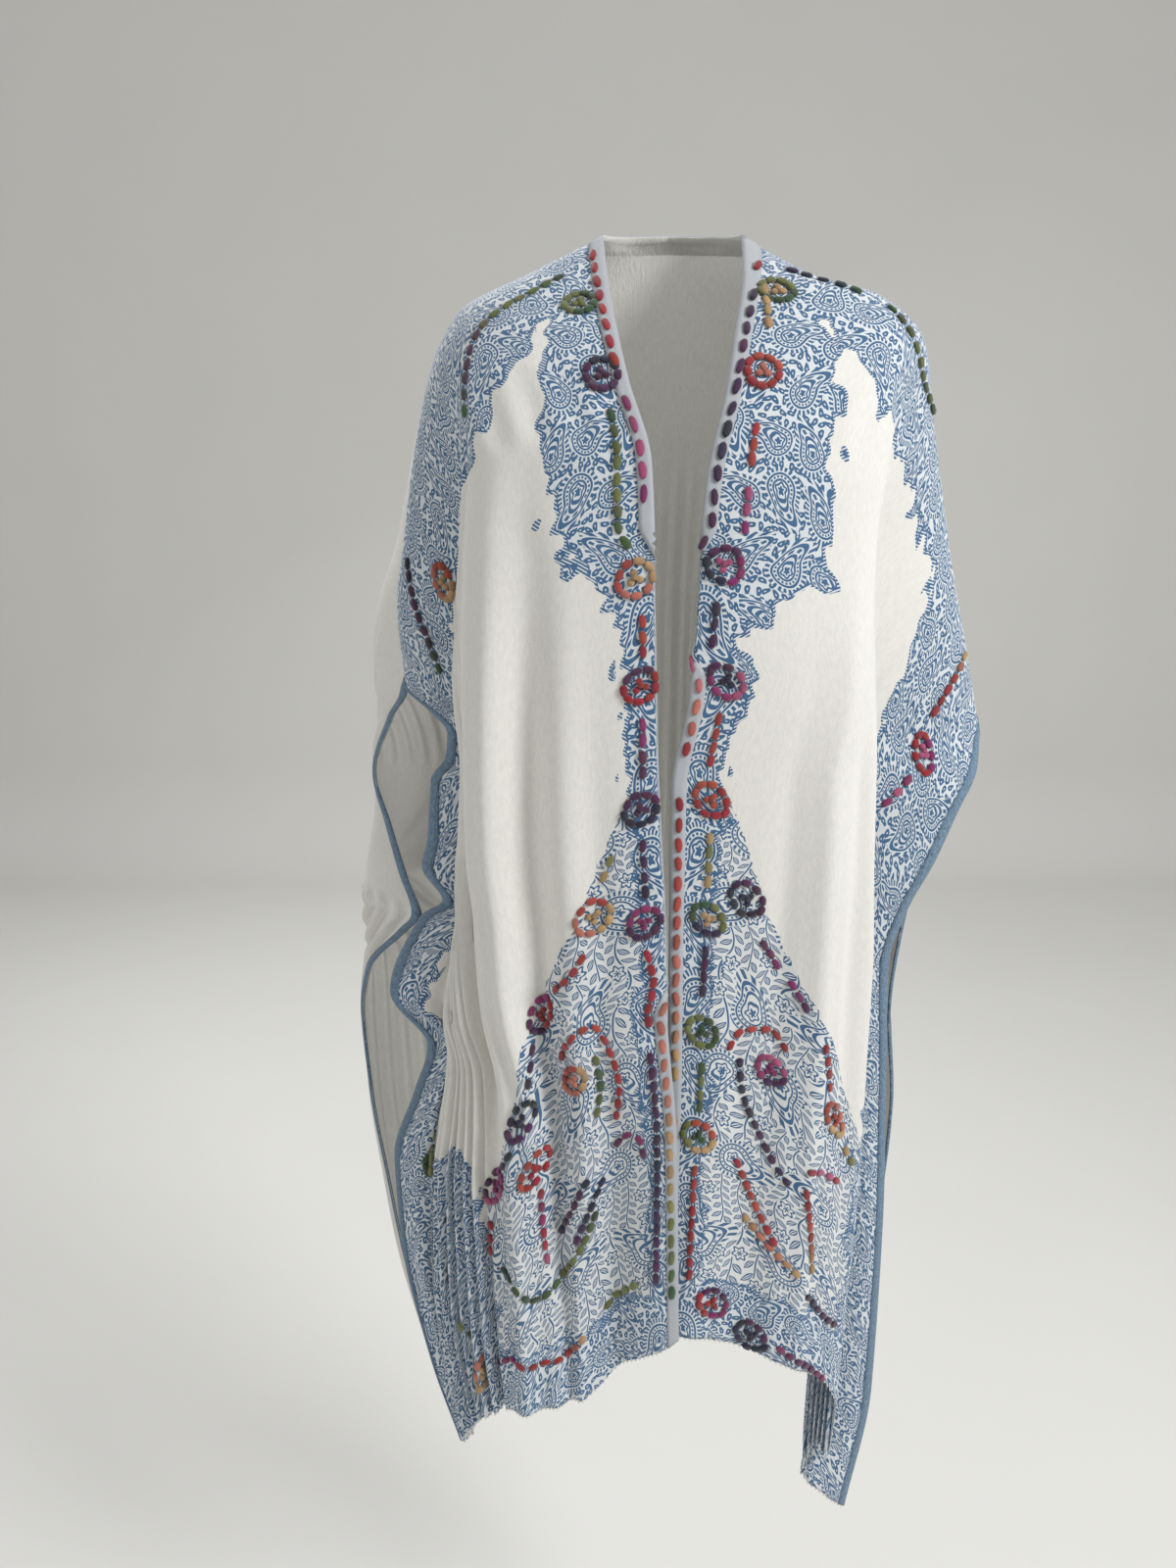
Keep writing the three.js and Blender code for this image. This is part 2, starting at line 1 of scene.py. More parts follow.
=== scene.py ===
"""Open-front kaftan of woven viscose, as it hangs when worn: white cloth with woven blue paisley borders,
a twill band along the open front, marled side edges and thick space-dyed thread embroidery."""

import math

import bpy
import numpy as np
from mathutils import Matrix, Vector


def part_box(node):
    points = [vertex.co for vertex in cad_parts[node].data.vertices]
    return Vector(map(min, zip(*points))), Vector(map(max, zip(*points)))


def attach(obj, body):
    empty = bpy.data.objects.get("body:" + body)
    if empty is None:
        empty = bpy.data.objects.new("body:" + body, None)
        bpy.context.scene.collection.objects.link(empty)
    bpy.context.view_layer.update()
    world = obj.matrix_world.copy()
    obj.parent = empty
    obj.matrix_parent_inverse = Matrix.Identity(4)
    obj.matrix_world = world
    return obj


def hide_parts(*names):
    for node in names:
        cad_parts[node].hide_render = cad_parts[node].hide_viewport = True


bl_info = {
    "name": "Paisley Kaftan",
    "version": (1, 0, 0),
    "blender": (4, 5, 0),
    "location": "3D View > Sidebar > Kaftan",
    "description": "Sews an open-front kaftan with woven paisley borders and thread embroidery",
    "category": "Add Mesh",
}

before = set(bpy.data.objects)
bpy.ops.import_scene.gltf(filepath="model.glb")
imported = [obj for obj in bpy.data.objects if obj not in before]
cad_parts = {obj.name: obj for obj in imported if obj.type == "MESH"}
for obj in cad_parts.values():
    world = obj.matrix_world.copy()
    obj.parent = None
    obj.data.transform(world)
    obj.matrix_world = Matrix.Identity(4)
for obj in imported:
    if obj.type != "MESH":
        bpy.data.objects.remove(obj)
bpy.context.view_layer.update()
MM = 0.001

# The cut, in millimetres
FRONT_WIDTH = 465
FRONT_LENGTH = 880
NECK_HALF = 68
BACK_HALF = NECK_HALF + FRONT_WIDTH
NECKBAND = 11
ROLL_FADES = 150  # along the cloth, where a rolled edge no longer shifts it
ROLL_DEPTH = 2.8
ROLL_TURN = 3.5  # length of cloth in which a rolled edge turns over
SLEEVE_EASE, TUCK_EASE = 1.12, 1.1  # length of cloth against the straight way across
SLEEVE_SWELL = 6
SECTION_STEPS = 64
HALVINGS = 40
GATHERED = 0.75  # share of its width below which cloth counts as gathered
GATHERED_FROM, GATHERED_MARGIN = 90, 40  # flat cloth left as it is beside the front and the side edge
PLEAT_CUT = 30  # width of cut cloth that each small pleat takes up
PLEAT_SLACK = 1.05  # how much wider than it hangs the cloth may be cut before it pleats
PLEAT_WANDER = 0.22  # of a pleat
PLEAT_EDGE = 25  # width beside a side edge over which pleats die away
PLEAT_START, PLEAT_GROWTH = 0.04, 0.14  # shares of the way down at which pleats begin and are full
NARROWEST = 0.3  # share of its width that cloth is never narrower than, for its pleats
EDGING = 12
TOOTH_PITCH = 4.2
SIDES = ("right", "left")
SIGN = {"right": 1, "left": -1}
FRONT_COLUMNS, FRONT_ROWS = 124, 220
BACK_COLUMNS, BACK_ROWS = 110, 190


def table(names, *lines):
    """A short table as named columns."""
    return {name: np.array(column, float) for name, column in zip(names.split(), zip(*lines))}


# The shoulder line from the front: height, cloth used since the neck, distance from the middle.
SHOULDER = {
    "right": table(
        "z along out",
        (3, 0, 51), (-26, 62, 105), (-41, 116, 157), (-72, 161, 188),
        (-143, 234, 203), (-223, 316, 219), (-315, 411, 241), (-368, 465, 253),
    ),
    "left": table(
        "z along out",
        (3, 0, 51), (-24, 69, 106), (-50, 134, 157), (-82, 177, 176),
        (-143, 248, 193), (-216, 331, 205), (-269, 391, 212), (-334, 465, 207),
    ),
}

# Front edges: height, distance past the middle, distance ahead of the shoulders.
FRONT_EDGE = {
    "right": table(
        "z out ahead",
        (3, 51, 0), (-33, 47, 45), (-76, 38, 80), (-110, 32, 98), (-179, 17, 118), (-262, 12, 120),
        (-322, 9, 118), (-387, -2, 114), (-496, -2, 110), (-616, -1, 108), (-850, -4, 106),
    ),
    "left": table(
        "z out ahead",
        (3, 51, 0), (-40, 47, 45), (-76, 41, 80), (-107, 34, 98), (-160, 19, 116), (-244, 15, 120),
        (-369, 11, 119), (-482, 5, 119), (-557, 3, 119), (-662, -6, 118), (-850, -11, 117),
    ),
}

# The fold that falls along the front of the arm, how far it tucks back, and how much of it there is.
ARM_FOLD = {
    "right": table(
        "z out ahead tuck behind share",
        (3, 51, 0, 0, 1, 0), (-72, 140, 48, 4, 10, 0), (-125, 151, 60, 8, 14, 0.6),
        (-220, 148, 66, 12, 18, 1), (-364, 155, 72, 22, 22, 1), (-473, 159, 70, 34, 22, 1),
        (-558, 164, 60, 34, 22, 1), (-700, 164, 56, 26, 20, 1), (-860, 158, 60, 22, 18, 1),
        (-1083, 150, 58, 20, 16, 1),
    ),
    "left": table(
        "z out ahead tuck behind share",
        (3, 51, 0, 0, 1, 0), (-82, 135, 50, 4, 10, 0), (-145, 147, 62, 8, 14, 0.6),
        (-220, 154, 70, 12, 20, 1), (-320, 161, 74, 18, 24, 1), (-379, 157, 77, 24, 26, 1),
        (-433, 159, 74, 22, 24, 1), (-500, 167, 66, 20, 18, 0.9), (-620, 180, 62, 16, 14, 0.7),
        (-860, 186, 66, 12, 12, 0.6), (-1003, 168, 62, 10, 10, 0.6),
    ),
}

# Side edges of the fronts, below the sleeve end.
FRONT_SIDE = {
    "right": table(
        "z out ahead",
        (-368, 253, 0), (-397, 244, 26), (-418, 232, 36), (-466, 212, 40), (-507, 194, 36),
        (-553, 184, 28), (-660, 190, 18), (-800, 194, 22), (-960, 191, 30), (-1083, 172, 34),
    ),
    "left": table(
        "z out ahead",
        (-334, 207, 0), (-345, 186, 26), (-361, 170, 38), (-381, 172, 38), (-401, 185, 30),
        (-447, 188, 40), (-469, 193, 41), (-497, 177, 42), (-515, 197, 30), (-578, 223, 36),
        (-622, 193, 40), (-667, 206, 34), (-731, 226, 30), (-806, 223, 30), (-920, 201, 36),
        (-1003, 176, 40),
    ),
}

# The back: its middle, half of its neckline, and its side edges with the billow beside them.
BACK_MIDDLE = table(
    "z behind",
    (12, 52), (3, 62), (-40, 90), (-120, 122), (-220, 138), (-400, 136), (-620, 140), (-1060, 146),
)
BACK_NECK = table(
    "z along out behind",
    (12, 0, 0, 52), (10, 30, 29, 45), (6, 56, 47, 19), (3, NECK_HALF, 51, 0),
)
BACK_SIDE = {
    "right": table(
        "z out behind billow",
        (3, 51, 0, 0), (-200, 215, 0, 4), (-368, 253, 0, 8), (-417, 247, 20, 10), (-450, 237, 22, 14),
        (-493, 217, 20, 20), (-545, 202, 8, 24), (-600, 192, -10, 20), (-700, 200, -6, 10),
        (-860, 191, -4, 8), (-1060, 182, 4, 4),
    ),
    "left": table(
        "z out behind billow",
        (3, 51, 0, 0), (-200, 202, 0, 18), (-334, 207, 0, 48), (-362, 224, 30, 30), (-418, 246, 60, 12),
        (-455, 232, 42, 32), (-492, 214, 8, 60), (-517, 199, -20, 82), (-536, 212, -2, 66),
        (-598, 258, 55, 14), (-646, 268, 72, 10), (-724, 264, 76, 12), (-804, 252, 70, 14),
        (-902, 232, 52, 18), (-1020, 190, 14, 16),
    ),
}

# Hems: how low the cloth hangs at each distance across it.
FRONT_HEM = {
    "right": table(
        "along z",
        (0, -843), (57, -860), (101, -880), (140, -906), (168, -945), (222, -1012), (308, -1000),
        (399, -1036), (465, -1083),
    ),
    "left": table(
        "along z", (0, -843), (43, -868), (97, -910), (165, -922), (286, -948), (372, -975), (465, -1003),
    ),
}
BACK_HEM = {
    "right": table("along z", (0, -868), (200, -905), (380, -990), (BACK_HALF, -1058)),
    "left": table("along z", (0, -868), (200, -900), (380, -962), (BACK_HALF, -1018)),
}

# How much of each front edge is rolled to the inside.
ROLL = {
    "right": table("z width", (-205, 0), (-232, 12.5), (-284, 12.5), (-305, 0)),
    "left": table("z width", (-205, 0), (-232, 12.5), (-528, 12.5), (-560, 0)),
}

# Soft folds: crest across the cloth at the top and at the hem, start and end down it, half width, depth.
FOLDS = {
    "front_right": (
        (80, 62, 0.3, 1.2, 27, -5), (129, 120, 0.16, 1.2, 22, 6), (152, 151, 0.1, 1.2, 15, -6),
        (28, 26, 0.55, 1.3, 20, 3), (416, 428, 0.05, 0.5, 30, 5),
    ),
    "front_left": (
        (60, 68, 0.62, 1.3, 26, -20), (94, 130, 0.12, 1.1, 22, -8), (116, 160, 0.1, 1.2, 19, 9),
        (140, 190, 0.06, 1.2, 18, -9), (28, 23, 0.5, 1.3, 20, 4), (390, 414, 0.05, 0.6, 24, -5),
    ),
    "back_right": (
        (0, 0, 0, 1.3, 34, -10), (66, 60, 0.02, 1.3, 28, 11), (130, 122, 0, 1.3, 30, -13),
        (196, 190, 0.04, 1.3, 28, 12), (262, 256, 0, 1.3, 30, -14), (328, 324, 0.03, 1.3, 28, 12),
        (392, 388, 0.08, 1.3, 28, -9),
    ),
    "back_left": (
        (0, 0, 0, 1.3, 34, -10), (72, 60, 0.03, 1.3, 30, 12), (142, 126, 0, 1.3, 28, -11),
        (206, 196, 0.05, 1.3, 30, 13), (276, 268, 0, 1.3, 30, -12), (344, 330, 0.04, 1.3, 30, 11),
        (410, 396, 0.1, 1.3, 28, -9),
    ),
}

# Fine creases on top of them, in the same columns.
CREASES = {
    "front_right": (
        (96, 82, 0.2, 0.9, 9, -2.6), (122, 112, 0.12, 1.1, 8, 2.8), (40, 44, 0.45, 1.1, 9, 1.8),
        (88, 94, 0.5, 1.3, 10, 3.0), (150, 142, 0.1, 0.8, 8, -2.4), (54, 40, 0.7, 1.3, 9, -2.6),
        (110, 128, 0.6, 1.3, 10, -3.2), (138, 152, 0.6, 1.3, 9, 3.4), (440, 446, 0.2, 1.2, 8, 1.6),
        (70, 64, 0.34, 0.8, 8, 2.0), (138, 126, 0.3, 1.0, 7, -1.8),
    ),
    "front_left": (
        (64, 94, 0.14, 0.95, 12, 5.4), (86, 122, 0.08, 0.9, 12, -7.0), (110, 150, 0.06, 1.0, 11, 6.0),
        (50, 62, 0.28, 0.8, 9, -3.4), (134, 174, 0.06, 0.9, 9, 4.6), (76, 74, 0.6, 1.3, 10, 4.4),
        (98, 110, 0.66, 1.3, 9, -4.0), (124, 136, 0.62, 1.3, 10, 4.4), (34, 30, 0.7, 1.3, 9, -2.6),
        (430, 438, 0.3, 1.2, 8, 1.6), (120, 160, 0.16, 0.7, 6, -2.6), (96, 132, 0.3, 0.9, 6, 2.4),
    ),
    "back_right": (
        (30, 26, 0.1, 1.1, 12, 3.6), (104, 96, 0.05, 1.3, 11, -3.4), (178, 166, 0.08, 0.9, 10, 3.4),
        (236, 230, 0.1, 1.3, 12, -3.8), (300, 304, 0.15, 1.3, 11, 3.2), (372, 364, 0.2, 1.3, 12, 3.2),
        (436, 430, 0.3, 1.2, 11, -2.8),
    ),
    "back_left": (
        (40, 36, 0.12, 1.3, 12, -3.2), (108, 96, 0.06, 1.0, 11, 3.6), (174, 166, 0.08, 1.3, 10, 3.2),
        (242, 236, 0.12, 1.3, 12, -3.6), (312, 300, 0.15, 1.3, 11, 3.4), (378, 366, 0.2, 1.3, 12, -3.2),
        (450, 440, 0.3, 1.3, 11, -2.8),
    ),
}

# Where the borders end on the flat cloth: (down from the shoulder, along from the front edge).
NECK_BORDER = {
    "right": ((0, 30), (60, 40), (100, 62), (150, 82), (230, 96), (263, 98), (291, 62), (323, 46), (365, 44),
              (396, 36), (447, 40), (515, 34), (900, 30)),
    "left": ((0, 30), (88, 46), (139, 64), (164, 78), (192, 76), (227, 72), (250, 68), (274, 58), (300, 42),
             (355, 36), (447, 36), (500, 32), (900, 26)),
}
LEAFY_BORDER = {
    "right": ((400, 0), (440, 44), (480, 60), (515, 72), (560, 102), (600, 138), (655, 178), (700, 230),
              (740, 465), (990, 465)),
    "left": ((400, 0), (440, 36), (475, 54), (518, 74), (560, 106), (600, 136), (640, 156), (690, 190),
             (740, 230), (770, 465), (990, 465)),
}
SIDE_BORDER = {
    "right": ((0, 300), (63, 320), (100, 346), (140, 362), (400, 362), (560, 290), (610, 182), (645, 172),
              (700, 166), (990, 160)),
    "left": ((0, 330), (140, 350), (325, 424), (427, 432), (500, 400), (554, 290), (610, 236), (662, 206),
             (720, 190), (990, 180)),
}
# (along from the front edge, down from the shoulder), and the height of the hem border.
SHOULDER_BORDER = {
    "right": ((0, 60), (30, 76), (58, 90), (86, 110), (122, 124), (160, 100), (212, 62), (287, 44),
              (FRONT_WIDTH, 40)),
    "left": ((0, 60), (44, 82), (70, 108), (100, 126), (124, 136), (160, 140), (220, 120), (277, 84),
             (FRONT_WIDTH, 76)),
}
HEM_BORDER = 58

# Thread colours, each a short name in the stitch tables.
THREADS = {
    "red": (0.30, 0.012, 0.020), "orange": (0.38, 0.050, 0.032), "salmon": (0.48, 0.150, 0.105),
    "tan": (0.46, 0.29, 0.13), "olive": (0.14, 0.16, 0.045), "green": (0.028, 0.070, 0.022),
    "navy": (0.013, 0.010, 0.038), "plum": (0.060, 0.008, 0.058), "magenta": (0.22, 0.014, 0.11),
    "pink": (0.42, 0.075, 0.19),
}

# Stitch sizes by kind: from one to the next, and length, both in millimetres.
STITCHES = {"neckband": (15.2, 12.4), "line": (11.2, 10.8), "motif": (11.0, 9.8)}

# Running stitches: kind, places on the flat cloth (along, down), and the colours that follow one another.
RUNS = {
    "left": (
        ("neckband", ((9, 16), (8, 60), (7, 100), (7, 140)), "red red"),
        ("neckband", ((7, 158), (7, 192), (7, 236)), "magenta pink magenta"),
        ("line", ((20, 166), (25, 214), (25, 262)), "green olive green"),
        ("line", ((22, 308), (22, 340)), "red orange red"),
        ("line", ((23, 380), (24, 426)), "magenta plum"),
        ("line", ((26, 468), (26, 516)), "plum navy"),
        ("line", ((27, 554), (20, 588), (15, 620)), "red red"),
        ("neckband", ((6, 600), (6, 660), (7, 742), (7, 858)), "salmon salmon tan olive green"),
        ("line", ((17, 640), (18, 720), (20, 800), (21, 840)), "plum navy plum"),
        ("motif", ((46, 474), (56, 496)), "olive tan"),
        ("motif", ((70, 542), (82, 556), (96, 566)), "red orange red"),
        ("motif", ((122, 592), (127, 606), (132, 619)), "plum navy"),
        ("motif", ((150, 654), (162, 664)), "navy navy"),
        ("motif", ((182, 698), (186, 730)), "red red"),
        ("motif", ((176, 745), (156, 768), (138, 800), (116, 805), (92, 786), (76, 760)),
         "green green olive green"),
        ("motif", ((98, 622), (88, 610), (74, 604), (60, 610), (51, 634), (48, 660), (55, 690)),
         "red orange red red"),
        ("motif", ((66, 628), (66, 655), (73, 680)), "olive green olive"),
        ("motif", ((82, 726), (98, 748), (114, 768)), "navy plum navy"),
        ("motif", ((68, 734), (82, 756), (98, 780)), "navy navy plum"),
        ("motif", ((58, 712), (44, 704), (33, 711), (30, 728)), "plum magenta plum"),
        ("motif", ((128, 708), (128, 744), (126, 780)), "red magenta red pink"),
        ("motif", ((190, 828), (162, 836), (140, 860), (112, 878), (92, 868)),
         "plum magenta red red orange tan"),
        ("motif", ((74, 858), (54, 848), (38, 838)), "olive olive"),
        ("motif", ((330, 590), (320, 630), (316, 662)), "navy plum navy"),
        ("motif", ((282, 716), (256, 768)), "olive green"),
        ("motif", ((30, 39), (56, 51), (92, 66), (118, 92), (136, 112)), "green olive plum green"),
        ("motif", ((330, 20), (356, 36), (378, 54), (398, 66)), "navy plum green"),
        ("motif", ((430, 74), (432, 92), (434, 110)), "orange red"),
    ),
    "right": (
        ("neckband", ((9, 33), (8, 54)), "red red"),
        ("neckband", ((8, 68), (7, 118), (7, 171), (7, 238), (7, 300)), "navy plum navy plum navy"),
        ("neckband", ((6, 340), (6, 420)), "pink salmon red"),
        ("neckband", ((6, 446), (6, 508), (6, 586), (6, 676)), "red orange salmon tan"),
        ("neckband", ((6, 700), (6, 780), (6, 850)), "tan salmon tan"),
        ("line", ((13, 62), (17, 82), (20, 102)), "tan tan"),
        ("line", ((26, 174), (29, 204)), "red orange"),
        ("line", ((30, 216), (30, 250)), "pink magenta"),
        ("line", ((26, 298), (25, 332)), "navy plum"),
        ("line", ((23, 380), (26, 422)), "red orange red"),
        ("line", ((29, 468), (28, 514)), "tan olive tan"),
        ("line", ((28, 558), (26, 600)), "navy plum navy"),
        ("line", ((26, 654), (25, 698)), "green olive green"),
        ("line", ((23, 742), (22, 798), (22, 846)), "orange red red"),
        ("motif", ((96, 884), (126, 888), (146, 890)), "magenta plum magenta"),
        ("motif", ((70, 542), (78, 550), (86, 560)), "plum magenta"),
        ("motif", ((94, 564), (108, 580)), "magenta plum"),
        ("motif", ((120, 596), (126, 614), (130, 634)), "red orange"),
        ("motif", ((152, 664), (166, 672)), "tan olive"),
        ("motif", ((46, 640), (54, 624), (68, 616), (84, 614), (94, 624)), "red orange red"),
        ("motif", ((56, 642), (58, 664), (64, 684), (84, 718), (100, 736)), "navy navy plum navy"),
        ("motif", ((110, 714), (126, 707), (148, 700)), "red pink red"),
        ("motif", ((56, 730), (74, 766), (92, 794)), "red orange red"),
        ("motif", ((64, 778), (88, 798), (112, 808)), "tan salmon tan"),
        ("motif", ((112, 728), (118, 762), (124, 800)), "red orange tan"),
        ("motif", ((118, 822), (140, 830), (158, 826)), "navy plum"),
        ("motif", ((24, 37), (50, 41), (78, 45)), "navy navy green"),
        ("motif", ((96, 42), (128, 58), (168, 40), (204, 16)), "green olive green"),
        ("motif", ((390, 10), (392, 34), (395, 68)), "tan red red"),
        ("motif", ((404, 110), (401, 130), (396, 150)), "magenta pink magenta"),
    ),
}

# Flowers of stitches: place on the flat cloth, radius, colours of the petals in turn, and of the middle.
FLOWERS = {
    "left": (
        ((18, 140), 11, "plum navy plum", "plum"), ((26, 283), 11.5, "tan orange salmon", "tan"),
        ((24, 358), 11, "red red plum", "red"), ((26, 447), 11, "navy plum", "plum"),
        ((28, 533), 11, "plum magenta", "magenta"), ((63, 518), 12, "tan orange salmon", "tan"),
        ((110, 579), 12, "red magenta plum", "red"), ((140, 638), 12, "navy plum", "navy"),
        ((174, 674), 12, "magenta plum pink", "magenta"), ((132, 688), 11, "red orange", "red"),
        ((88, 640), 10, "tan orange salmon", "salmon"), ((238, 800), 12, "tan olive salmon", "tan"),
        ((414, 516), 11, "olive green", "olive"),
        ((312, 68), 11, "tan orange salmon", "tan"), ((22, 74), 10, "green olive", "olive"),
    ),
    "right": (
        ((22, 137), 11, "red orange red", "salmon"), ((28, 273), 11.5, "navy plum magenta", "pink"),
        ((26, 357), 11.5, "magenta plum pink", "navy"), ((29, 445), 11.5, "red orange red", "orange"),
        ((29, 537), 11.5, "green olive navy", "tan"), ((26, 629), 11, "olive green", "green"),
        ((25, 717), 11.5, "tan olive orange", "green"), ((42, 864), 12, "magenta red plum", "red"),
        ((76, 886), 12, "navy navy plum", "navy"), ((58, 513), 12, "navy plum", "navy"),
        ((82, 646), 10.5, "plum magenta pink", "magenta"), ((138, 652), 11, "orange salmon tan", "orange"),
        ((407, 88), 11, "red magenta red", "pink"),
        ((22, 66), 10, "olive green", "tan"),
    ),
}


# Curves and surfaces of the cloth


def mix(a, b, t):
    return a + (b - a) * t


def smooth(t):
    t = np.clip(t, 0, 1)
    return t * t * (3 - 2 * t)


def track(columns, key, column):
    """A column of a table as a smooth function of another, with no overshoot between its rows."""
    order = np.argsort(columns[key])
    at, value = columns[key][order], columns[column][order]
    rise = np.diff(value) / np.diff(at)
    slope = np.concatenate([rise[:1], np.zeros(len(at) - 2), rise[-1:]])
    before, after = rise[:-1], rise[1:]
    product, total = before * after, before + after
    turning = (product <= 0) | (total == 0)
    slope[1:-1] = np.where(turning, 0, 2 * product / np.where(turning, 1, total))

    def read(x):
        x = np.clip(x, at[0], at[-1])
        i = np.clip(np.searchsorted(at, x, side="right") - 1, 0, len(at) - 2)
        h = at[i + 1] - at[i]
        t = (x - at[i]) / h
        t2, t3 = t * t, t * t * t
        start = (2 * t3 - 3 * t2 + 1) * value[i] + (t3 - 2 * t2 + t) * h * slope[i]
        return start + (3 * t2 - 2 * t3) * value[i + 1] + (t3 - t2) * h * slope[i + 1]

    return read


def height_where(along, value, top, bottom):
    """The height at which a falling track reaches each value, found by halving."""
    high, low = np.full_like(value, top), np.full_like(value, bottom)
    for _ in range(HALVINGS):
        middle = (high + low) / 2
        above = along(middle) < value
        high, low = np.where(above, middle, high), np.where(above, low, middle)
    return (high + low) / 2


def quarter(a, b):
    """Length of a quarter of an ellipse."""
    return math.pi / 4 * (3 * (a + b) - np.sqrt((3 * a + b) * (a + 3 * b)))


def fold_height(folds, along, drop):
    """How far the folds of a panel stand out."""
    height = 0
    for top, foot, start, end, half, out in folds:
        across = np.exp(-(((along - mix(top, foot, drop)) / half) ** 2))
        down = smooth((drop - start) / 0.35) * (1 - smooth((drop - end + 0.2) / 0.2))
        height = height + out * across * down
    return height


def measured(section):
    """Length of a section across the cloth, the length up to a share of it, and the share at a length."""
    x, y = section(np.linspace(0, 1, SECTION_STEPS + 1))
    run = np.hypot(np.diff(x, axis=-1), np.diff(y, axis=-1))
    way = np.concatenate([np.zeros(run.shape[:-1] + (1,)), np.cumsum(run, axis=-1)], axis=-1)

    def way_at(share):
        at = np.clip(share * SECTION_STEPS, 0, SECTION_STEPS - 1e-6)
        i = at.astype(int)
        before, after = (np.take_along_axis(way, i + k, -1) for k in (0, 1))
        return mix(before, after, at - i)

    def share_at(wanted):
        i = np.clip((way[..., 1:] < wanted).sum(-1, keepdims=True), 0, SECTION_STEPS - 1)
        before, after = (np.take_along_axis(way, i + k, -1) for k in (0, 1))
        return np.clip((i + (wanted - before) / np.maximum(after - before, 1e-9)) / SECTION_STEPS, 0, 1)

    return way[..., -1:], way_at, share_at


def front_points(side, along, drop):
    """Points of a front, from columns along the cloth and rows from shoulder to hem."""
    shoulder, edge, fold, side_edge = SHOULDER[side], FRONT_EDGE[side], ARM_FOLD[side], FRONT_SIDE[side]
    sleeve_z = shoulder["z"][-1]
    used_at = track(shoulder, "z", "along")
    top = height_where(used_at, along, shoulder["z"][0], sleeve_z)
    z = mix(top[:, None], track(FRONT_HEM[side], "along", "z")(along)[:, None], drop[None, :])[..., None]
    along = np.broadcast_to(along[:, None, None], z.shape)
    rolled = track(ROLL[side], "z", "width")(z)
    seen = along - rolled * (1 - smooth(along / ROLL_FADES))
    turned = np.maximum(-seen, 0)  # how far round the rolled edge, on the inside
    along = np.abs(seen)
    on_shoulder = z > sleeve_z
    width = np.where(on_shoulder, np.maximum(used_at(z), along), FRONT_WIDTH)
    start_x, start_y = track(edge, "z", "out")(z), np.maximum(track(edge, "z", "ahead")(z), 0)
    end_x = np.where(on_shoulder, track(shoulder, "z", "out")(z), track(side_edge, "z", "out")(z))
    end_y = np.where(on_shoulder, 0, np.maximum(track(side_edge, "z", "ahead")(z), 0))
    tuck, behind, share = (track(fold, "z", column)(z) for column in ("tuck", "behind", "share"))
    fold_x, fold_y = track(fold, "z", "out")(z), track(fold, "z", "ahead")(z)
    inner_x, inner_y = fold_x - tuck, fold_y - behind
    body = quarter(np.abs(fold_x - start_x), np.abs(start_y - fold_y))
    sleeve = SLEEVE_EASE * np.hypot(end_x - inner_x, end_y - inner_y)
    hidden = np.maximum(TUCK_EASE * np.hypot(tuck, behind), width - body - sleeve)
    whole = body + sleeve + hidden

    def section(part):
        angle = part * math.pi / 2
        plain_x = mix(start_x, end_x, np.sin(angle))
        plain_y = mix(end_y, start_y, np.cos(angle) * (1.35 - 0.35 * np.cos(angle)))
        used = part * whole
        a = np.clip(used / np.maximum(body, 1e-6), 0, 1) * math.pi / 2
        t = np.clip((used - body) / hidden, 0, 1)
        s = np.clip((used - body - hidden) / sleeve, 0, 1)
        on_body, on_hidden = used < body, used < body + hidden
        back_x = mix(inner_x, fold_x, (1 + np.cos(math.pi * t)) / 2)
        arm_x = mix(inner_x, end_x, (1 - np.cos(math.pi * s)) / 2)
        arm_y = mix(inner_y, end_y, s) + SLEEVE_SWELL * np.sin(math.pi * s)
        x = np.where(on_body, mix(start_x, fold_x, np.sin(a)), np.where(on_hidden, back_x, arm_x))
        back_y = np.where(on_hidden, mix(fold_y, inner_y, t), arm_y)
        y = np.where(on_body, mix(fold_y, start_y, np.cos(a)), back_y)
        return mix(plain_x, x, share), mix(plain_y, y, share)

    length, way_at, share_at = measured(section)
    before = way_at(body / whole)
    after = length - way_at((body + hidden) / whole)
    even = along / np.maximum(width, 1e-6) * length
    spare = width - before - after
    in_tuck = (along - before) / np.where(spare > 0, spare, 1)
    gathered = mix(before, length - after, np.clip(in_tuck, 0, 1))
    from_side = np.maximum(length - (width - along), length - after)
    way = np.where(in_tuck < 0, along, np.where(in_tuck > 1, from_side, gathered))
    x, y = section(share_at(np.where(spare > 0, mix(even, way, share), even)))
    y = y - ROLL_DEPTH * smooth(turned / ROLL_TURN)
    return np.concatenate([SIGN[side] * x, -y, z], axis=-1)


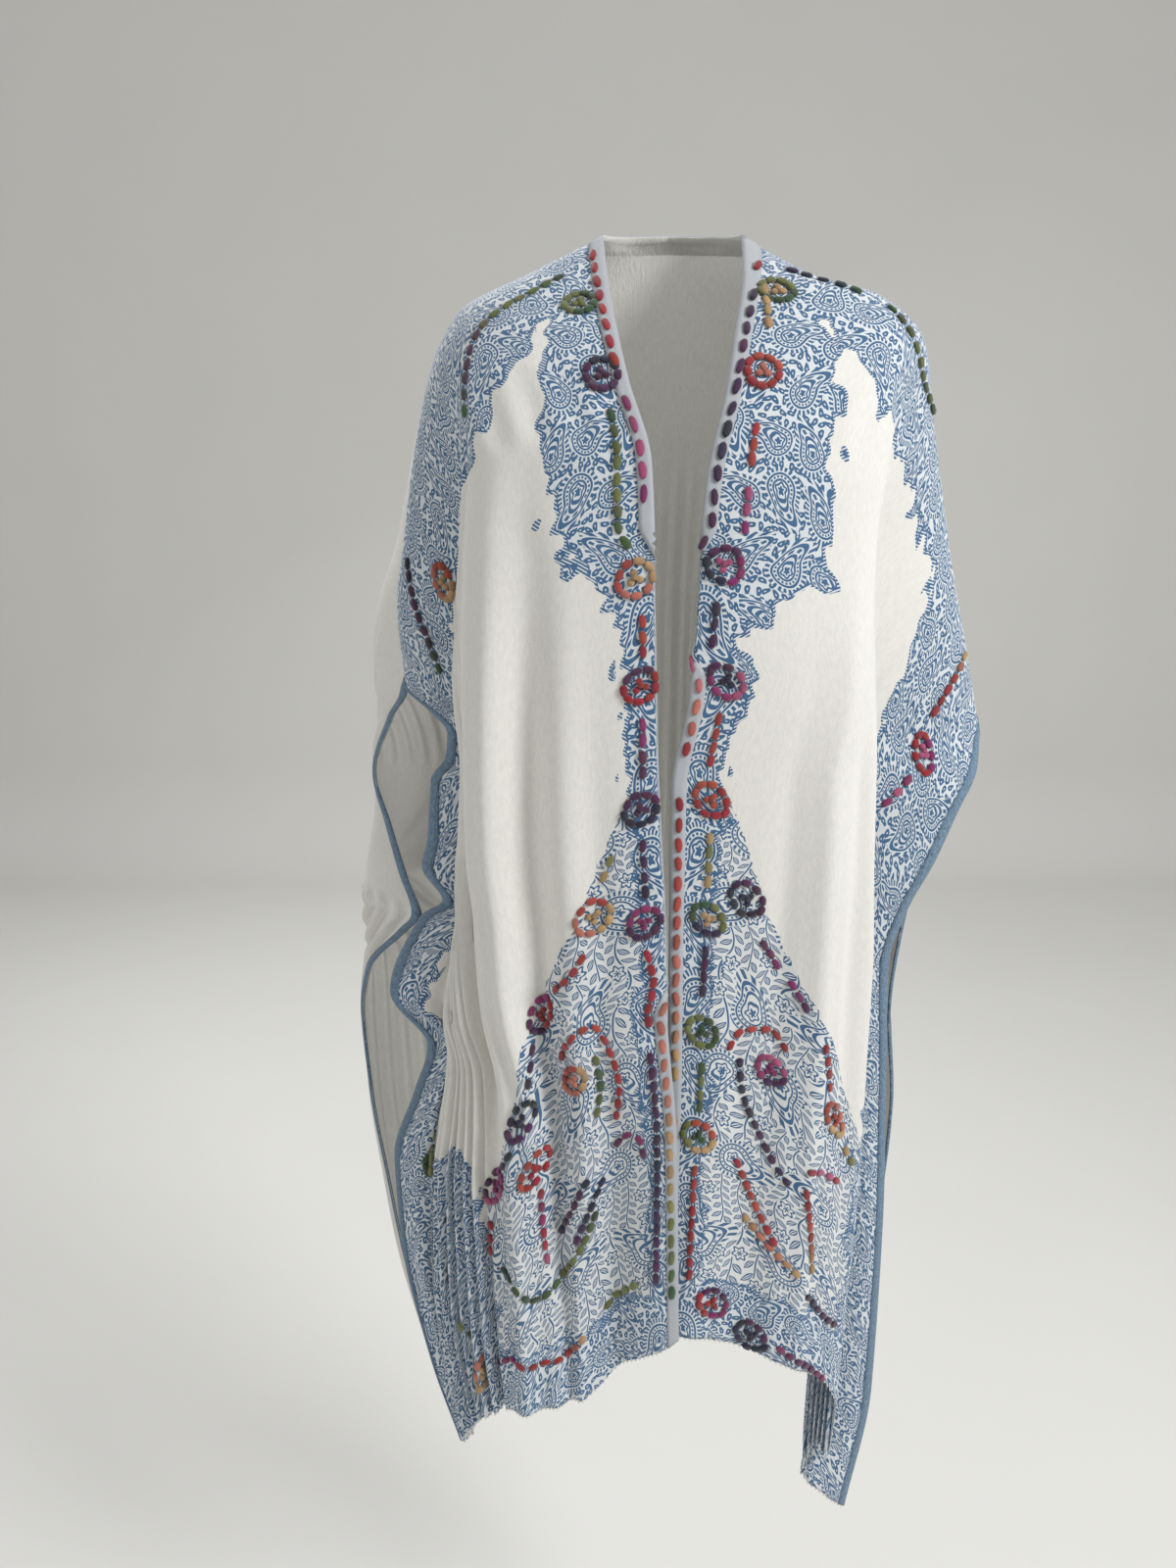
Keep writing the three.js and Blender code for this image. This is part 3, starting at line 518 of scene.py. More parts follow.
def back_points(side, along, drop):
    """Points of half of the back, from its middle outwards."""
    shoulder, side_edge = SHOULDER[side], BACK_SIDE[side]
    top_edge = {
        "z": np.concatenate([BACK_NECK["z"], shoulder["z"][1:]]),
        "along": np.concatenate([BACK_NECK["along"], shoulder["along"][1:] + NECK_HALF]),
        "out": np.concatenate([BACK_NECK["out"], shoulder["out"][1:]]),
        "behind": np.concatenate([BACK_NECK["behind"], 0 * shoulder["z"][1:]]),
    }
    sleeve_z = shoulder["z"][-1]
    used_at = track(top_edge, "z", "along")
    top = height_where(used_at, along, BACK_NECK["z"][0], sleeve_z)
    z = mix(top[:, None], track(BACK_HEM[side], "along", "z")(along)[:, None], drop[None, :])[..., None]
    along = np.broadcast_to(along[:, None, None], z.shape)
    on_shoulder = z > sleeve_z
    width = np.where(on_shoulder, np.maximum(used_at(z), along), BACK_HALF)
    end_x = np.where(on_shoulder, track(top_edge, "z", "out")(z), track(side_edge, "z", "out")(z))
    end_y = np.where(on_shoulder, track(top_edge, "z", "behind")(z), track(side_edge, "z", "behind")(z))
    billow, middle = track(side_edge, "z", "billow")(z), track(BACK_MIDDLE, "z", "behind")(z)

    def section(part):
        angle = part * math.pi / 2
        fullness = np.cos(angle) * (1.4 - 0.4 * np.cos(angle))
        return end_x * np.sin(angle) + billow * np.sin(math.pi * part * part), mix(end_y, middle, fullness)

    length, _, share_at = measured(section)
    x, y = section(share_at(along / np.maximum(width, 1e-6) * length))
    return np.concatenate([SIGN[side] * x, y, z], axis=-1)


def softened(values, times):
    """A grid of values, each made more like its neighbours."""
    for _ in range(times):
        wide = np.pad(values, 1, mode="edge")
        values = (wide[:-2, 1:-1] + wide[2:, 1:-1] + wide[1:-1, :-2] + wide[1:-1, 2:] + values) / 5
    return values


def pleats(points, along, drop):
    """How far small pleats stand out, worked out from how much narrower the cloth hangs than it was cut."""
    steps = np.linalg.norm(np.diff(points, axis=0), axis=-1)
    share = np.clip(steps / np.diff(along)[:, None], NARROWEST, 1)
    share = softened(np.concatenate([share[:1], share]), 12)
    slope = 2 * np.sqrt(np.maximum(1 / share - PLEAT_SLACK, 0))  # of a wave with the missing length
    depth = slope * PLEAT_CUT * share / (2 * math.pi)
    turn = along[:, None] / PLEAT_CUT + PLEAT_WANDER * np.sin(5 * drop[None, :] + along[:, None] / 55)
    from_edge = np.minimum(along - along[0], along[-1] - along)[:, None]
    down = smooth((drop - PLEAT_START) / PLEAT_GROWTH)[None, :]
    return depth * np.sin(2 * math.pi * turn) * smooth(from_edge / PLEAT_EDGE) * down


def cloth_normals(points, outward, closes_at_top):
    """Directions out of the garment at each point of a grid."""
    normal = np.cross(np.gradient(points, axis=0), np.gradient(points, axis=1)) * outward
    seam = closes_at_top & (np.abs(points[:, 0, 1]) < 0.5)
    normal[seam, 0, 1] = 0  # both cloths of the shoulder seam end in one plane
    return normal / np.maximum(np.linalg.norm(normal, axis=-1, keepdims=True), 1e-9)


class Panel:
    """A cut piece of cloth: its grid of points and normals, and where each point is on the flat cloth."""

    def __init__(self, along, drop, points, outward, folds):
        self.along = along
        lift = fold_height_signed(folds, along, drop)
        base = cloth_normals(points, outward, True)
        self.points = points + base * (lift + pleats(points, along, drop))[..., None]
        self.normals = cloth_normals(self.points, outward, True)
        steps = np.linalg.norm(np.diff(self.points, axis=1), axis=-1)
        self.down = np.concatenate([np.zeros((len(along), 1)), np.cumsum(steps, axis=1)], axis=1)
        self.woven = self.unsqueezed()

    def unsqueezed(self):
        """Distance along the weave at each point: its real length where cloth is gathered in a tuck."""
        steps = np.linalg.norm(np.diff(self.points, axis=0), axis=-1)
        squeezed = steps / np.diff(self.along)[:, None] < GATHERED
        squeezed[(self.along[1:] < GATHERED_FROM) | (self.along[1:] > FRONT_WIDTH - GATHERED_MARGIN)] = False
        woven = np.repeat(self.along[:, None], self.down.shape[1], axis=1)
        for row in range(self.down.shape[1]):
            found = np.flatnonzero(squeezed[:, row])
            if len(found) < 2:
                continue
            first, last = found[0], found[-1] + 1
            reach = np.concatenate([[0], np.cumsum(steps[first:last, row])])
            from_front = woven[first, row] + reach
            from_side = woven[last, row] - (reach[-1] - reach)
            woven[first : last + 1, row] = np.where(reach < reach[-1] / 2, from_front, from_side)
        return woven

    def place(self, along, down):
        """Point and normal at places on the flat cloth, in millimetres."""
        along, down = np.atleast_1d(along).astype(float), np.atleast_1d(down).astype(float)
        column = np.clip(np.interp(along, self.along, np.arange(len(self.along))), 0, len(self.along) - 1.001)
        i, f = column.astype(int), column % 1
        rows = np.arange(self.down.shape[1])
        out = []
        for grid in (self.points, self.normals):
            sides = []
            for step in (0, 1):
                picked = []
                for k, d in zip(i + step, down):
                    r = min(np.interp(d, self.down[k], rows), len(rows) - 1.001)
                    j, g = int(r), r % 1
                    picked.append(grid[k, j] * (1 - g) + grid[k, j + 1] * g)
                sides.append(np.array(picked))
            out.append(sides[0] * (1 - f)[:, None] + sides[1] * f[:, None])
        normal = out[1] / np.linalg.norm(out[1], axis=1, keepdims=True)
        return out[0], normal


def fold_height_signed(folds, along, drop):
    """Folds of a piece whose two halves have tables of their own: minus distances use the second."""
    grid_along, grid_drop = along[:, None], drop[None, :]
    right = fold_height(folds[0], np.abs(grid_along), grid_drop)
    left = fold_height(folds[1], np.abs(grid_along), grid_drop) if len(folds) > 1 else right
    return np.where(grid_along < 0, left, right)


def dense_steps(count, *breaks):
    """Even steps between the breaks, with about count in all, and every break among them."""
    whole = breaks[-1] - breaks[0]
    spans = zip(breaks, breaks[1:])
    pieces = [np.linspace(a, b, max(2, round(count * (b - a) / whole) + 1)) for a, b in spans]
    return np.unique(np.concatenate(pieces))


def sew_front(side):
    along = dense_steps(FRONT_COLUMNS, 0, NECKBAND, FRONT_WIDTH - EDGING, FRONT_WIDTH)
    drop = np.linspace(0, 1, FRONT_ROWS)
    folds = (FOLDS[f"front_{side}"] + CREASES[f"front_{side}"],)
    return Panel(along, drop, front_points(side, along, drop), -SIGN[side], folds)


def sew_back():
    half = dense_steps(BACK_COLUMNS, 0, NECK_HALF, BACK_HALF - EDGING, BACK_HALF)
    band = NECKBAND / FRONT_LENGTH
    drop = np.concatenate([np.linspace(0, band, 4), np.linspace(band, 1, BACK_ROWS)[1:]])
    left, right = back_points("left", half, drop)[:0:-1], back_points("right", half, drop)
    along = np.concatenate([-half[:0:-1], half])
    folds = (FOLDS["back_right"] + CREASES["back_right"], FOLDS["back_left"] + CREASES["back_left"])
    return Panel(along, drop, np.concatenate([left, right]), 1, folds)


# Meshes


def add_mesh(name, points, faces, materials=(), uv=None, face_materials=None, floats=None, colours=None):
    """A named object from points in millimetres, with its flat-cloth map in metres and its attributes."""
    mesh = bpy.data.meshes.new(name)
    mesh.from_pydata((np.asarray(points, float) * MM).tolist(), [], [list(map(int, f)) for f in faces])
    mesh.update()
    for material in materials:
        mesh.materials.append(material)
    corners = np.zeros(len(mesh.loops), np.int32)
    mesh.loops.foreach_get("vertex_index", corners)
    if uv is not None:
        layer = mesh.uv_layers.new(name="cut")
        layer.data.foreach_set("uv", (np.asarray(uv, np.float32) * MM)[corners].ravel())
    if face_materials is not None:
        mesh.polygons.foreach_set("material_index", np.asarray(face_materials, np.int32))
    for key, values in (floats or {}).items():
        attribute = mesh.attributes.new(key, "FLOAT", "POINT")
        attribute.data.foreach_set("value", np.asarray(values, np.float32).ravel())
    if colours is not None:
        attribute = mesh.color_attributes.new("thread", "FLOAT_COLOR", "POINT")
        opaque = np.ones((len(colours), 1), np.float32)
        rgba = np.concatenate([np.asarray(colours, np.float32), opaque], axis=1)
        attribute.data.foreach_set("color", rgba.ravel())
    mesh.polygons.foreach_set("use_smooth", np.ones(len(mesh.polygons), bool))
    obj = bpy.data.objects.new(name, mesh)
    bpy.context.scene.collection.objects.link(obj)
    return obj


def shell(name, panel, columns, rows, low, high, materials, floats=None):
    """A thin closed cloth over part of a panel: the first material outside, the last inside."""
    (c0, c1), (r0, r1) = columns, rows
    across, down = c1 - c0 + 1, r1 - r0 + 1
    part = (slice(c0, c1 + 1), slice(r0, r1 + 1))
    points, normals = panel.points[part], panel.normals[part]
    layers = [(points + normals * lift).reshape(-1, 3) for lift in (high, low)]
    uv = np.stack([panel.woven[part], panel.down[part]], axis=-1).reshape(-1, 2)
    index = np.arange(across * down).reshape(across, down)
    a, b = index[:-1, :-1].ravel(), index[1:, :-1].ravel()
    c, d = index[1:, 1:].ravel(), index[:-1, 1:].ravel()
    count = across * down
    outer = np.stack([a, b, c, d], axis=1)
    inner = np.stack([a, d, c, b], axis=1) + count
    ring = np.concatenate([index[:, 0], index[-1, 1:], index[-2::-1, -1], index[0, -2:0:-1]])
    following = np.roll(ring, -1)
    rim = np.stack([ring, ring + count, following + count, following], axis=1)
    faces = np.concatenate([outer, inner, rim])
    i, j = across // 2, down // 2
    facing = np.cross(points[min(i + 1, across - 1), j] - points[i - 1, j],
                      points[i, min(j + 1, down - 1)] - points[i, j - 1])
    if np.dot(facing, normals[i, j]) < 0:
        faces = faces[:, ::-1]
    kinds = np.zeros(len(faces), int)
    kinds[len(outer) : len(outer) + len(inner)] = len(materials) - 1
    doubled = {key: np.concatenate([values[part].ravel()] * 2) for key, values in (floats or {}).items()}
    return add_mesh(name, np.concatenate(layers), faces, materials, np.concatenate([uv, uv]), kinds, doubled)


def hem_teeth(name, panel, pitch, length, thick, material):
    """Small flat teeth along the lower edge of a panel."""
    middles = np.arange(panel.along[0] + pitch, panel.along[-1] - pitch / 2, pitch)
    points, faces, uv = [], [], []
    downwards = panel.points[:, -1] - panel.points[:, -3]
    downwards = downwards / np.linalg.norm(downwards, axis=1, keepdims=True)

    def at(grid, place):
        return np.array([np.interp(place, panel.along, grid[:, i]) for i in range(3)])

    for middle in middles:
        normal = at(panel.normals[:, -1], middle)
        left, right = (at(panel.points[:, -1], middle + e) for e in (-pitch * 0.4, pitch * 0.4))
        tip = at(panel.points[:, -1], middle) + at(downwards, middle) * length
        start = len(points)
        for lift in (thick, -thick):
            points += [corner + normal * lift for corner in (left, right, tip)]
        a, b, c, d, e, f = range(start, start + 6)
        faces += [(a, b, c), (f, e, d), (a, d, e, b), (b, e, f, c), (c, f, d, a)]
        uv += [(middle, 0)] * 6
    return add_mesh(name, points, faces, [material], uv)


# Woven patterns, drawn with arithmetic on the flat-cloth map


class Number:
    """A number socket of a material's nodes, worked with in plain arithmetic."""

    def __init__(self, sketch, socket):
        self.sketch, self.socket = sketch, socket

    def _with(self, operation, *others):
        return self.sketch.calculate(operation, self, *others)

    def __add__(self, other):
        return self._with("ADD", other)

    def __sub__(self, other):
        return self._with("SUBTRACT", other)

    def __mul__(self, other):
        return self._with("MULTIPLY", other)

    def __truediv__(self, other):
        return self._with("DIVIDE", other)

    def __gt__(self, other):
        return self._with("GREATER_THAN", other)

    def __lt__(self, other):
        return self._with("LESS_THAN", other)

    def __neg__(self):
        return self * -1

    def size(self):
        return self._with("ABSOLUTE")

    def floor(self):
        return self._with("FLOOR")

    def fraction(self):
        return self._with("FRACT")

    def wave(self):
        return self._with("SINE")

    def least(self, other):
        return self._with("MINIMUM", other)

    def most(self, other):
        return self._with("MAXIMUM", other)

    def either(self, other):
        return self._with("MAXIMUM", other)

    def both(self, other):
        return self._with("MULTIPLY", other)

    def where(self, yes, no):
        """yes where this mask is 1, and no where it is 0."""
        return self.sketch.blend(self, no, yes)


class Sketch:
    """One procedural material: its nodes and the short ways to add them."""

    def __init__(self, name, roughness=0.85, sheen=0.25):
        self.material = bpy.data.materials.new(name)
        self.material.use_nodes = True
        self.tree = self.material.node_tree
        self.tree.nodes.clear()
        self.shader = self.node("ShaderNodeBsdfPrincipled")
        output = self.node("ShaderNodeOutputMaterial")
        self.tree.links.new(self.shader.outputs["BSDF"], output.inputs["Surface"])
        self.shader.inputs["Roughness"].default_value = roughness
        self.shader.inputs["Sheen Weight"].default_value = sheen
        self.shader.inputs["Sheen Roughness"].default_value = 0.5
        self.shader.inputs["Specular IOR Level"].default_value = 0.3

    def node(self, kind, **settings):
        node = self.tree.nodes.new(kind)
        for key, value in settings.items():
            setattr(node, key, value)
        return node

    def plug(self, socket, value):
        if isinstance(value, Number):
            value = value.socket
        if isinstance(value, bpy.types.NodeSocket):
            self.tree.links.new(value, socket)
        else:
            socket.default_value = value

    def calculate(self, operation, *values):
        node = self.node("ShaderNodeMath", operation=operation)
        for socket, value in zip(node.inputs, values):
            self.plug(socket, value)
        return Number(self, node.outputs[0])

    def blend(self, factor, low, high):
        node = self.node("ShaderNodeMix", data_type="FLOAT")
        for key, value in (("Factor", factor), ("A", low), ("B", high)):
            self.plug(next(s for s in node.inputs if s.name == key and s.type == "VALUE"), value)
        return Number(self, next(s for s in node.outputs if s.type == "VALUE"))

    def colour_mix(self, factor, low, high):
        node = self.node("ShaderNodeMix", data_type="RGBA")
        self.plug(next(s for s in node.inputs if s.name == "Factor" and s.type == "VALUE"), factor)
        for key, value in (("A", low), ("B", high)):
            value = (*value, 1) if isinstance(value, tuple) and len(value) == 3 else value
            self.plug(next(s for s in node.inputs if s.name == key and s.type == "RGBA"), value)
        return next(s for s in node.outputs if s.type == "RGBA")

    def cloth_place(self):
        """Millimetres along and down the flat cloth."""
        parts = self.node("ShaderNodeSeparateXYZ")
        layer = self.node("ShaderNodeUVMap", uv_map="cut")
        self.plug(parts.inputs[0], layer.outputs[0])
        return Number(self, parts.outputs[0]) * 1000, Number(self, parts.outputs[1]) * 1000

    def vector(self, x, y, z=0.0):
        node = self.node("ShaderNodeCombineXYZ")
        for socket, value in zip(node.inputs, (x, y, z)):
            self.plug(socket, value)
        return node.outputs[0]

    def noise(self, x, y, size, detail=2.0, third=0.0):
        """Soft noise from 0 to 1 whose patches are about size millimetres."""
        node = self.node("ShaderNodeTexNoise", noise_dimensions="3D")
        self.plug(node.inputs["Vector"], self.vector(x / size, y / size, third))
        node.inputs["Scale"].default_value = 1.0
        node.inputs["Detail"].default_value = detail
        return Number(self, node.outputs["Fac" if "Fac" in node.outputs else "Factor"])

    def cells(self, x, y, size, randomness=0.9, shift=0.0):
        """Distance to the middle of scattered cells, and the place in the cell, all in millimetres."""
        node = self.node("ShaderNodeTexVoronoi", voronoi_dimensions="2D", feature="F1")
        at_x, at_y = x / size + shift, y / size + shift
        self.plug(node.inputs["Vector"], self.vector(at_x, at_y))
        node.inputs["Scale"].default_value = 1.0
        node.inputs["Randomness"].default_value = randomness
        middle = self.node("ShaderNodeSeparateXYZ")
        self.plug(middle.inputs[0], node.outputs["Position"])
        local_x = (at_x - Number(self, middle.outputs[0])) * size
        local_y = (at_y - Number(self, middle.outputs[1])) * size
        return Number(self, node.outputs["Distance"]) * size, local_x, local_y

    def lots(self, x, y):
        """Three even random numbers for a whole-number place."""
        node = self.node("ShaderNodeTexWhiteNoise", noise_dimensions="2D")
        self.plug(node.inputs["Vector"], self.vector(x, y))
        own = self.node("ShaderNodeSeparateColor")
        self.plug(own.inputs[0], node.outputs["Color"])
        return [Number(self, s) for s in own.outputs]

    def length(self, x, y):
        return self.calculate("SQRT", x * x + y * y)

    def turn(self, x, y, angle):
        """The place turned about the middle by an angle in radians, a number or a socket."""
        if isinstance(angle, Number):
            c, s = self.calculate("COSINE", angle), angle.wave()
        else:
            c, s = math.cos(angle), math.sin(angle)
        return x * c - y * s, x * s + y * c

    def attribute(self, name):
        node = self.node("ShaderNodeAttribute", attribute_name=name)
        return Number(self, node.outputs["Fac"])

    def bump(self, height, strength, distance):
        node = self.node("ShaderNodeBump")
        self.plug(node.inputs["Height"], height)
        node.inputs["Strength"].default_value = strength
        node.inputs["Distance"].default_value = distance
        self.plug(self.shader.inputs["Normal"], node.outputs[0])

    def colour(self, socket):
        self.plug(self.shader.inputs["Base Color"], socket)


def teardrop(s, x, y, bend):
    """Nested teardrops with a curled tip: how wide the one through a place is, and its angle."""
    curl = (y + 3.0).most(0.0)
    x = x - curl * curl * bend
    reach = s.length(x, y)
    upward = (y / (reach + 0.01)).most(0.0)
    squared = upward * upward
    return reach / (squared * squared * squared + 1.0), s.calculate("ARCTAN2", y, x)


def lattice(s, u, v, width, height, shift):
    """Places in a half-drop repeat: distance from the cell's middle, and the cell's random numbers."""
    row = (v / height).floor()
    offset = u + shift + (row * 0.5).fraction() * width
    column = (offset / width).floor()
    x = offset - (column + 0.5) * width
    y = v - (row + 0.5) * height
    return x, y, s.lots(column, row)


def repeat(s, u, v, width, height, shift, turning, bend):
    """A half-drop repeat of teardrops, each mirrored and turned in its own way."""
    x, y, (first, second, third) = lattice(s, u, v, width, height, shift)
    x = x * ((first > 0.5) * 2 - 1)
    y = y * ((third > 0.3) * -2 + 1)
    x, y = s.turn(x, y, (second - 0.5) * turning + 0.35)
    return teardrop(s, x + width * 0.06, y + height * 0.14, bend)


def leaf_filling(s, u, v):
    """Small blue leaves with pale veins, crowded on pale ground."""
    wide, _ = repeat(s, u, v, 5.8, 7.2, 1.0, 5.0, 0.08)
    return (wide < 2.35).both(wide > 0.55)


def boteh(s, wide, angle, rim):
    """The inside of a boteh: two outlines with beading between them, and a flower at its heart."""
    part = wide / rim
    outline = (part - 0.93).size() < 0.075
    beads = ((part - 0.74).size() < 0.07).both((angle * 18).wave() > -0.2)
    inner_line = (part - 0.55).size() < 0.065
    petals = part + (angle * 5).wave() * 0.05
    heart = (petals < 0.18).either((petals - 0.35).size() < 0.065)
    return outline.either(beads).either(inner_line).either(heart)


def fringed(s, u, v, wide, angle, rim, rays):
    """A boteh with a fringe of rays round it, on the crowded ground."""
    fringe = (angle * rays).wave() > -0.2
    beyond = (wide > rim + 4.0).where(leaf_filling(s, u, v), (wide > rim + 0.9).where(fringe, 0.0))
    return (wide < rim).where(boteh(s, wide, angle, rim), beyond)


def paisley_ground(s, u, v):
    """Rows of nested botehs."""
    wide, angle = repeat(s, u, v, 31, 40, 8, 1.7, 0.024)
    return fringed(s, u, v, wide, angle, 10.4, 24), wide


def tall_ground(s, u, v):
    """One column of long curled botehs down the front edge."""
    y = (v / 58).fraction() * 58 - 29
    side = ((v / 58).floor() * 0.5).fraction() * 4 - 1
    x = (u - 20) * side
    x = x - (y / 11).wave() * 2.2
    wide, angle = teardrop(s, x, y * 0.72 + 6, 0.016)
    return fringed(s, u, v, wide, angle, 11.0, 30), wide


def vine_ground(s, u, v):
    """Stems with leaves, single flowers and outlined botehs on open ground."""
    bend_u = u + (s.noise(u, v, 44, 0.0) - 0.5) * 26
    bend_v = v + (s.noise(u, v, 40, 0.0, 5.0) - 0.5) * 22
    x = ((bend_u + (bend_v / 10).wave() * 3.0) / 17).fraction() * 17 - 8.5
    stem = x.size() < 0.6
    step = ((bend_v / 8.4) + (x > 0) * 0.5).fraction() * 8.4 - 4.2
    leaf_x, leaf_y = s.turn(x.size() - 4.6, step, -0.75)
    half = leaf_x / 4.8
    inside = leaf_y.size() / ((-(half * half)) + 1.0).most(0.02)
    leaf = (inside < 2.1).both((inside > 1.0).either(leaf_y.size() < 0.35))
    sprigs = stem.either(leaf)
    far, fx, fy = s.cells(u, v, 31, 0.7, 3.1)
    petal = far + (s.calculate("ARCTAN2", fy, fx) * 6).wave() * 1.1
    bloom = (petal < 1.9).either((petal - 5.0).size() < 0.85)
    sprigs = (far < 7.4).where(bloom, sprigs)
    wide, angle = repeat(s, u, v, 56, 70, 20, 1.3, 0.010)
    nested = ((wide - 12.6).size() < 0.75).either((wide - 8.8).size() < 0.7)
    rays = ((angle * 26).wave() > 0.0).both((wide > 13.9).both(wide < 17.0))
    beads = ((angle * 20).wave() > 0.1).both((wide - 10.7).size() < 0.75)
    petals = wide + (angle * 5).wave() * 0.9
    inner = (petals < 2.4).either((petals - 5.0).size() < 0.8)
    return (wide < 17.4).where(nested.either(rays).either(inner).either(beads), sprigs)


def woven_pattern(s):
    """Where the blue weft shows on the right side of the cloth, from 0 to 1, and the place on the cloth."""
    u, v = s.cloth_place()
    drift_u = u + (s.noise(u, v, 24, 0.0) - 0.5) * 5.0
    drift_v = v + (s.noise(u, v, 24, 0.0, 9.0) - 0.5) * 5.0
    small, small_wide = paisley_ground(s, drift_u, drift_v)
    tall, tall_wide = tall_ground(s, drift_u, drift_v)
    strip = (v > 286).both(u < 40)
    inner, wide = strip.where(tall, small), strip.where(tall_wide, small_wide)
    notches, nicks = ((u + v * 0.3) / 4.6).wave() * 2.4, ((v - u * 0.6) / 2.5).wave() * 1.5
    jag = notches + nicks + (s.noise(u, v, 15, 1.0, 7.0) - 0.5) * 14
    dense = s.attribute("dense") + 8.0 - wide.least(12.5) + jag  # the border ends near the outlines of botehs
    leafy = s.attribute("leafy") + (s.noise(u, v, 9, 1.0, 6.0) - 0.5) * 10
    fringe = (((u + v) / 2.9).fraction() > 0.42).both(dense > -3.6)
    vines = vine_ground(s, drift_u, drift_v).both(leafy > 0)
    rim = (dense > -0.9).where(1.0, fringe.either(vines))
    blue = (dense > 0.4).where(inner, rim)
    tint = (dense > -3.6).either((leafy > 0) * 0.55)
    return blue, (dense > 0).either(leafy > 0), tint, u, v


WHITE = (0.79, 0.775, 0.725)
PATTERN_GROUND = (0.60, 0.655, 0.70)
WEAVE_BLUE = (0.060, 0.152, 0.285)
WEAVE_DEEP = (0.025, 0.084, 0.185)


def crepe(s, u, v):
    """Fine uneven threads of the white cloth, from 0 to 1."""
    streaks = s.noise(u, v / 4, 1.9, 2.0)
    grain = s.noise(u, v, 1.1, 1.0, 3.0)
    return streaks * 0.6 + grain * 0.4


def finish_cloth(s, blue, dense, u, v, white, deep, bright):
    """Colours and relief of the woven cloth from its blue mask."""
    threads = crepe(s, u, v)
    ground = s.colour_mix(threads * 2.2 - 0.6, tuple(c * 0.84 for c in white), white)
    s.shader.inputs["Subsurface Weight"].default_value = 0.4
    s.shader.inputs["Subsurface Radius"].default_value = (1.0, 0.98, 0.94)
    s.shader.inputs["Subsurface Scale"].default_value = 0.003
    if blue is None:
        s.colour(ground)
        s.bump(threads, 0.9, 0.0012)
        return s.material
    twill = ((u + v) / 0.9).fraction()
    shade = s.noise(u, v, 30, 2.0, 8.0) * 0.6 + twill * 0.4
    yarn = s.colour_mix(shade, deep, bright)
    ground = s.colour_mix(dense * 0.85, ground, PATTERN_GROUND)
    s.colour(s.colour_mix(blue, ground, yarn))
    s.bump(threads * 0.6 + blue * (twill * 0.4 + 0.6), 0.55, 0.0005)
    return s.material


def patterned_cloth(name, reverse, white, deep, bright):
    s = Sketch(name)
    blue, in_border, dense, u, v = woven_pattern(s)
    if reverse:
        blue = (in_border - blue).most(0.0)
    return finish_cloth(s, blue, dense, u, v, white, deep, bright)


def plain_cloth(name, white):
    s = Sketch(name)
    u, v = s.cloth_place()
    return finish_cloth(s, None, None, u, v, white, white, white)


def twill_band(name, light, dark):
    s = Sketch(name, 0.9, 0.2)
    u, v = s.cloth_place()
    wander = s.noise(u, v, 3.0, 1.0)
    rib = ((u + v + wander) / 1.25).fraction()
    diagonal = (rib - 0.5).size() * 2
    s.colour(s.colour_mix(diagonal * 0.8 + wander * 0.2, dark, light))
    s.bump(diagonal, 0.6, 0.0005)
    return s.material


def marled_weave(name, light, dark):
    s = Sketch(name, 0.9, 0.2)
    u, v = s.cloth_place()
    heather = s.noise(u * 2.2, v * 0.5, 2.2, 2.0)
    rib = ((u * 1.3 - v) / 2.1).fraction() > 0.5
    fleck = s.noise(u, v, 1.3, 0.0, 4.0) > 0.55
    tone = (heather * 1.5 - 0.45 + rib * 0.22 + fleck * 0.28).most(0.0)
    s.colour(s.colour_mix(tone.least(1.0), dark, light))
    s.bump(rib * 0.7 + fleck * 0.5, 0.8, 0.0007)
    return s.material


def soft_thread(name):
    """Space-dyed yarn: the colour is carried by each stitch, with fibres and painted shade in the grooves
    between the plies on top.
    """
    s = Sketch(name, 0.5, 0.3)
    dye = s.node("ShaderNodeAttribute", attribute_name="thread")
    u, v = s.cloth_place()
    ply = ((u * 1.1 + v) / 1.5).fraction()
    ridge = (ply - 0.5).size() * 2
    fibre = s.noise(u * 3, v * 14, 1.0, 2.0)
    shade = s.node("ShaderNodeHueSaturation")
    s.plug(shade.inputs["Color"], dye.outputs["Color"])
    # painted shade: the value is lowest in the grooves between the plies, where the bump is lowest; the fibre
    # noise adds random tone
    s.plug(shade.inputs["Value"], ridge * 0.3 + fibre * 0.6 + 0.42)
    s.colour(shade.outputs[0])
    s.bump(ridge * 0.7 + fibre * 0.5, 0.8, 0.0006)
    return s.material


# Embroidery


STITCH_RINGS = 7
STITCH_SIDES = 9


def stitch_form():
    """One plump stitch, 1 long, 1 wide and 1 high, with the ridges of its twisted plies."""
    points, uv = [(-0.5, 0, 0)], [(-4.5, 0)]
    for ring in range(STITCH_RINGS):
        t = (ring + 1) / (STITCH_RINGS + 1) * 2 - 1
        girth = 0.5 * (1 - abs(t) ** 2.6) ** 0.5
        for side in range(STITCH_SIDES):
            a = 2 * math.pi * side / STITCH_SIDES
            ridge = 1 + 0.07 * math.cos(3 * a + 5.0 * t)
            points.append((t / 2, girth * ridge * math.cos(a), girth * ridge * math.sin(a)))
            uv.append((t * 4.5, 7.0 * side / STITCH_SIDES))
    points.append((0.5, 0, 0))
    uv.append((4.5, 0))
    faces = []

    def at(ring, side):
        return 1 + ring * STITCH_SIDES + side % STITCH_SIDES

    for side in range(STITCH_SIDES):
        faces.append((0, at(0, side + 1), at(0, side)))
        for ring in range(STITCH_RINGS - 1):
            faces.append((at(ring, side), at(ring, side + 1), at(ring + 1, side + 1), at(ring + 1, side)))
        faces.append((len(points) - 1, at(STITCH_RINGS - 1, side), at(STITCH_RINGS - 1, side + 1)))
    return np.array(points), faces, np.array(uv)


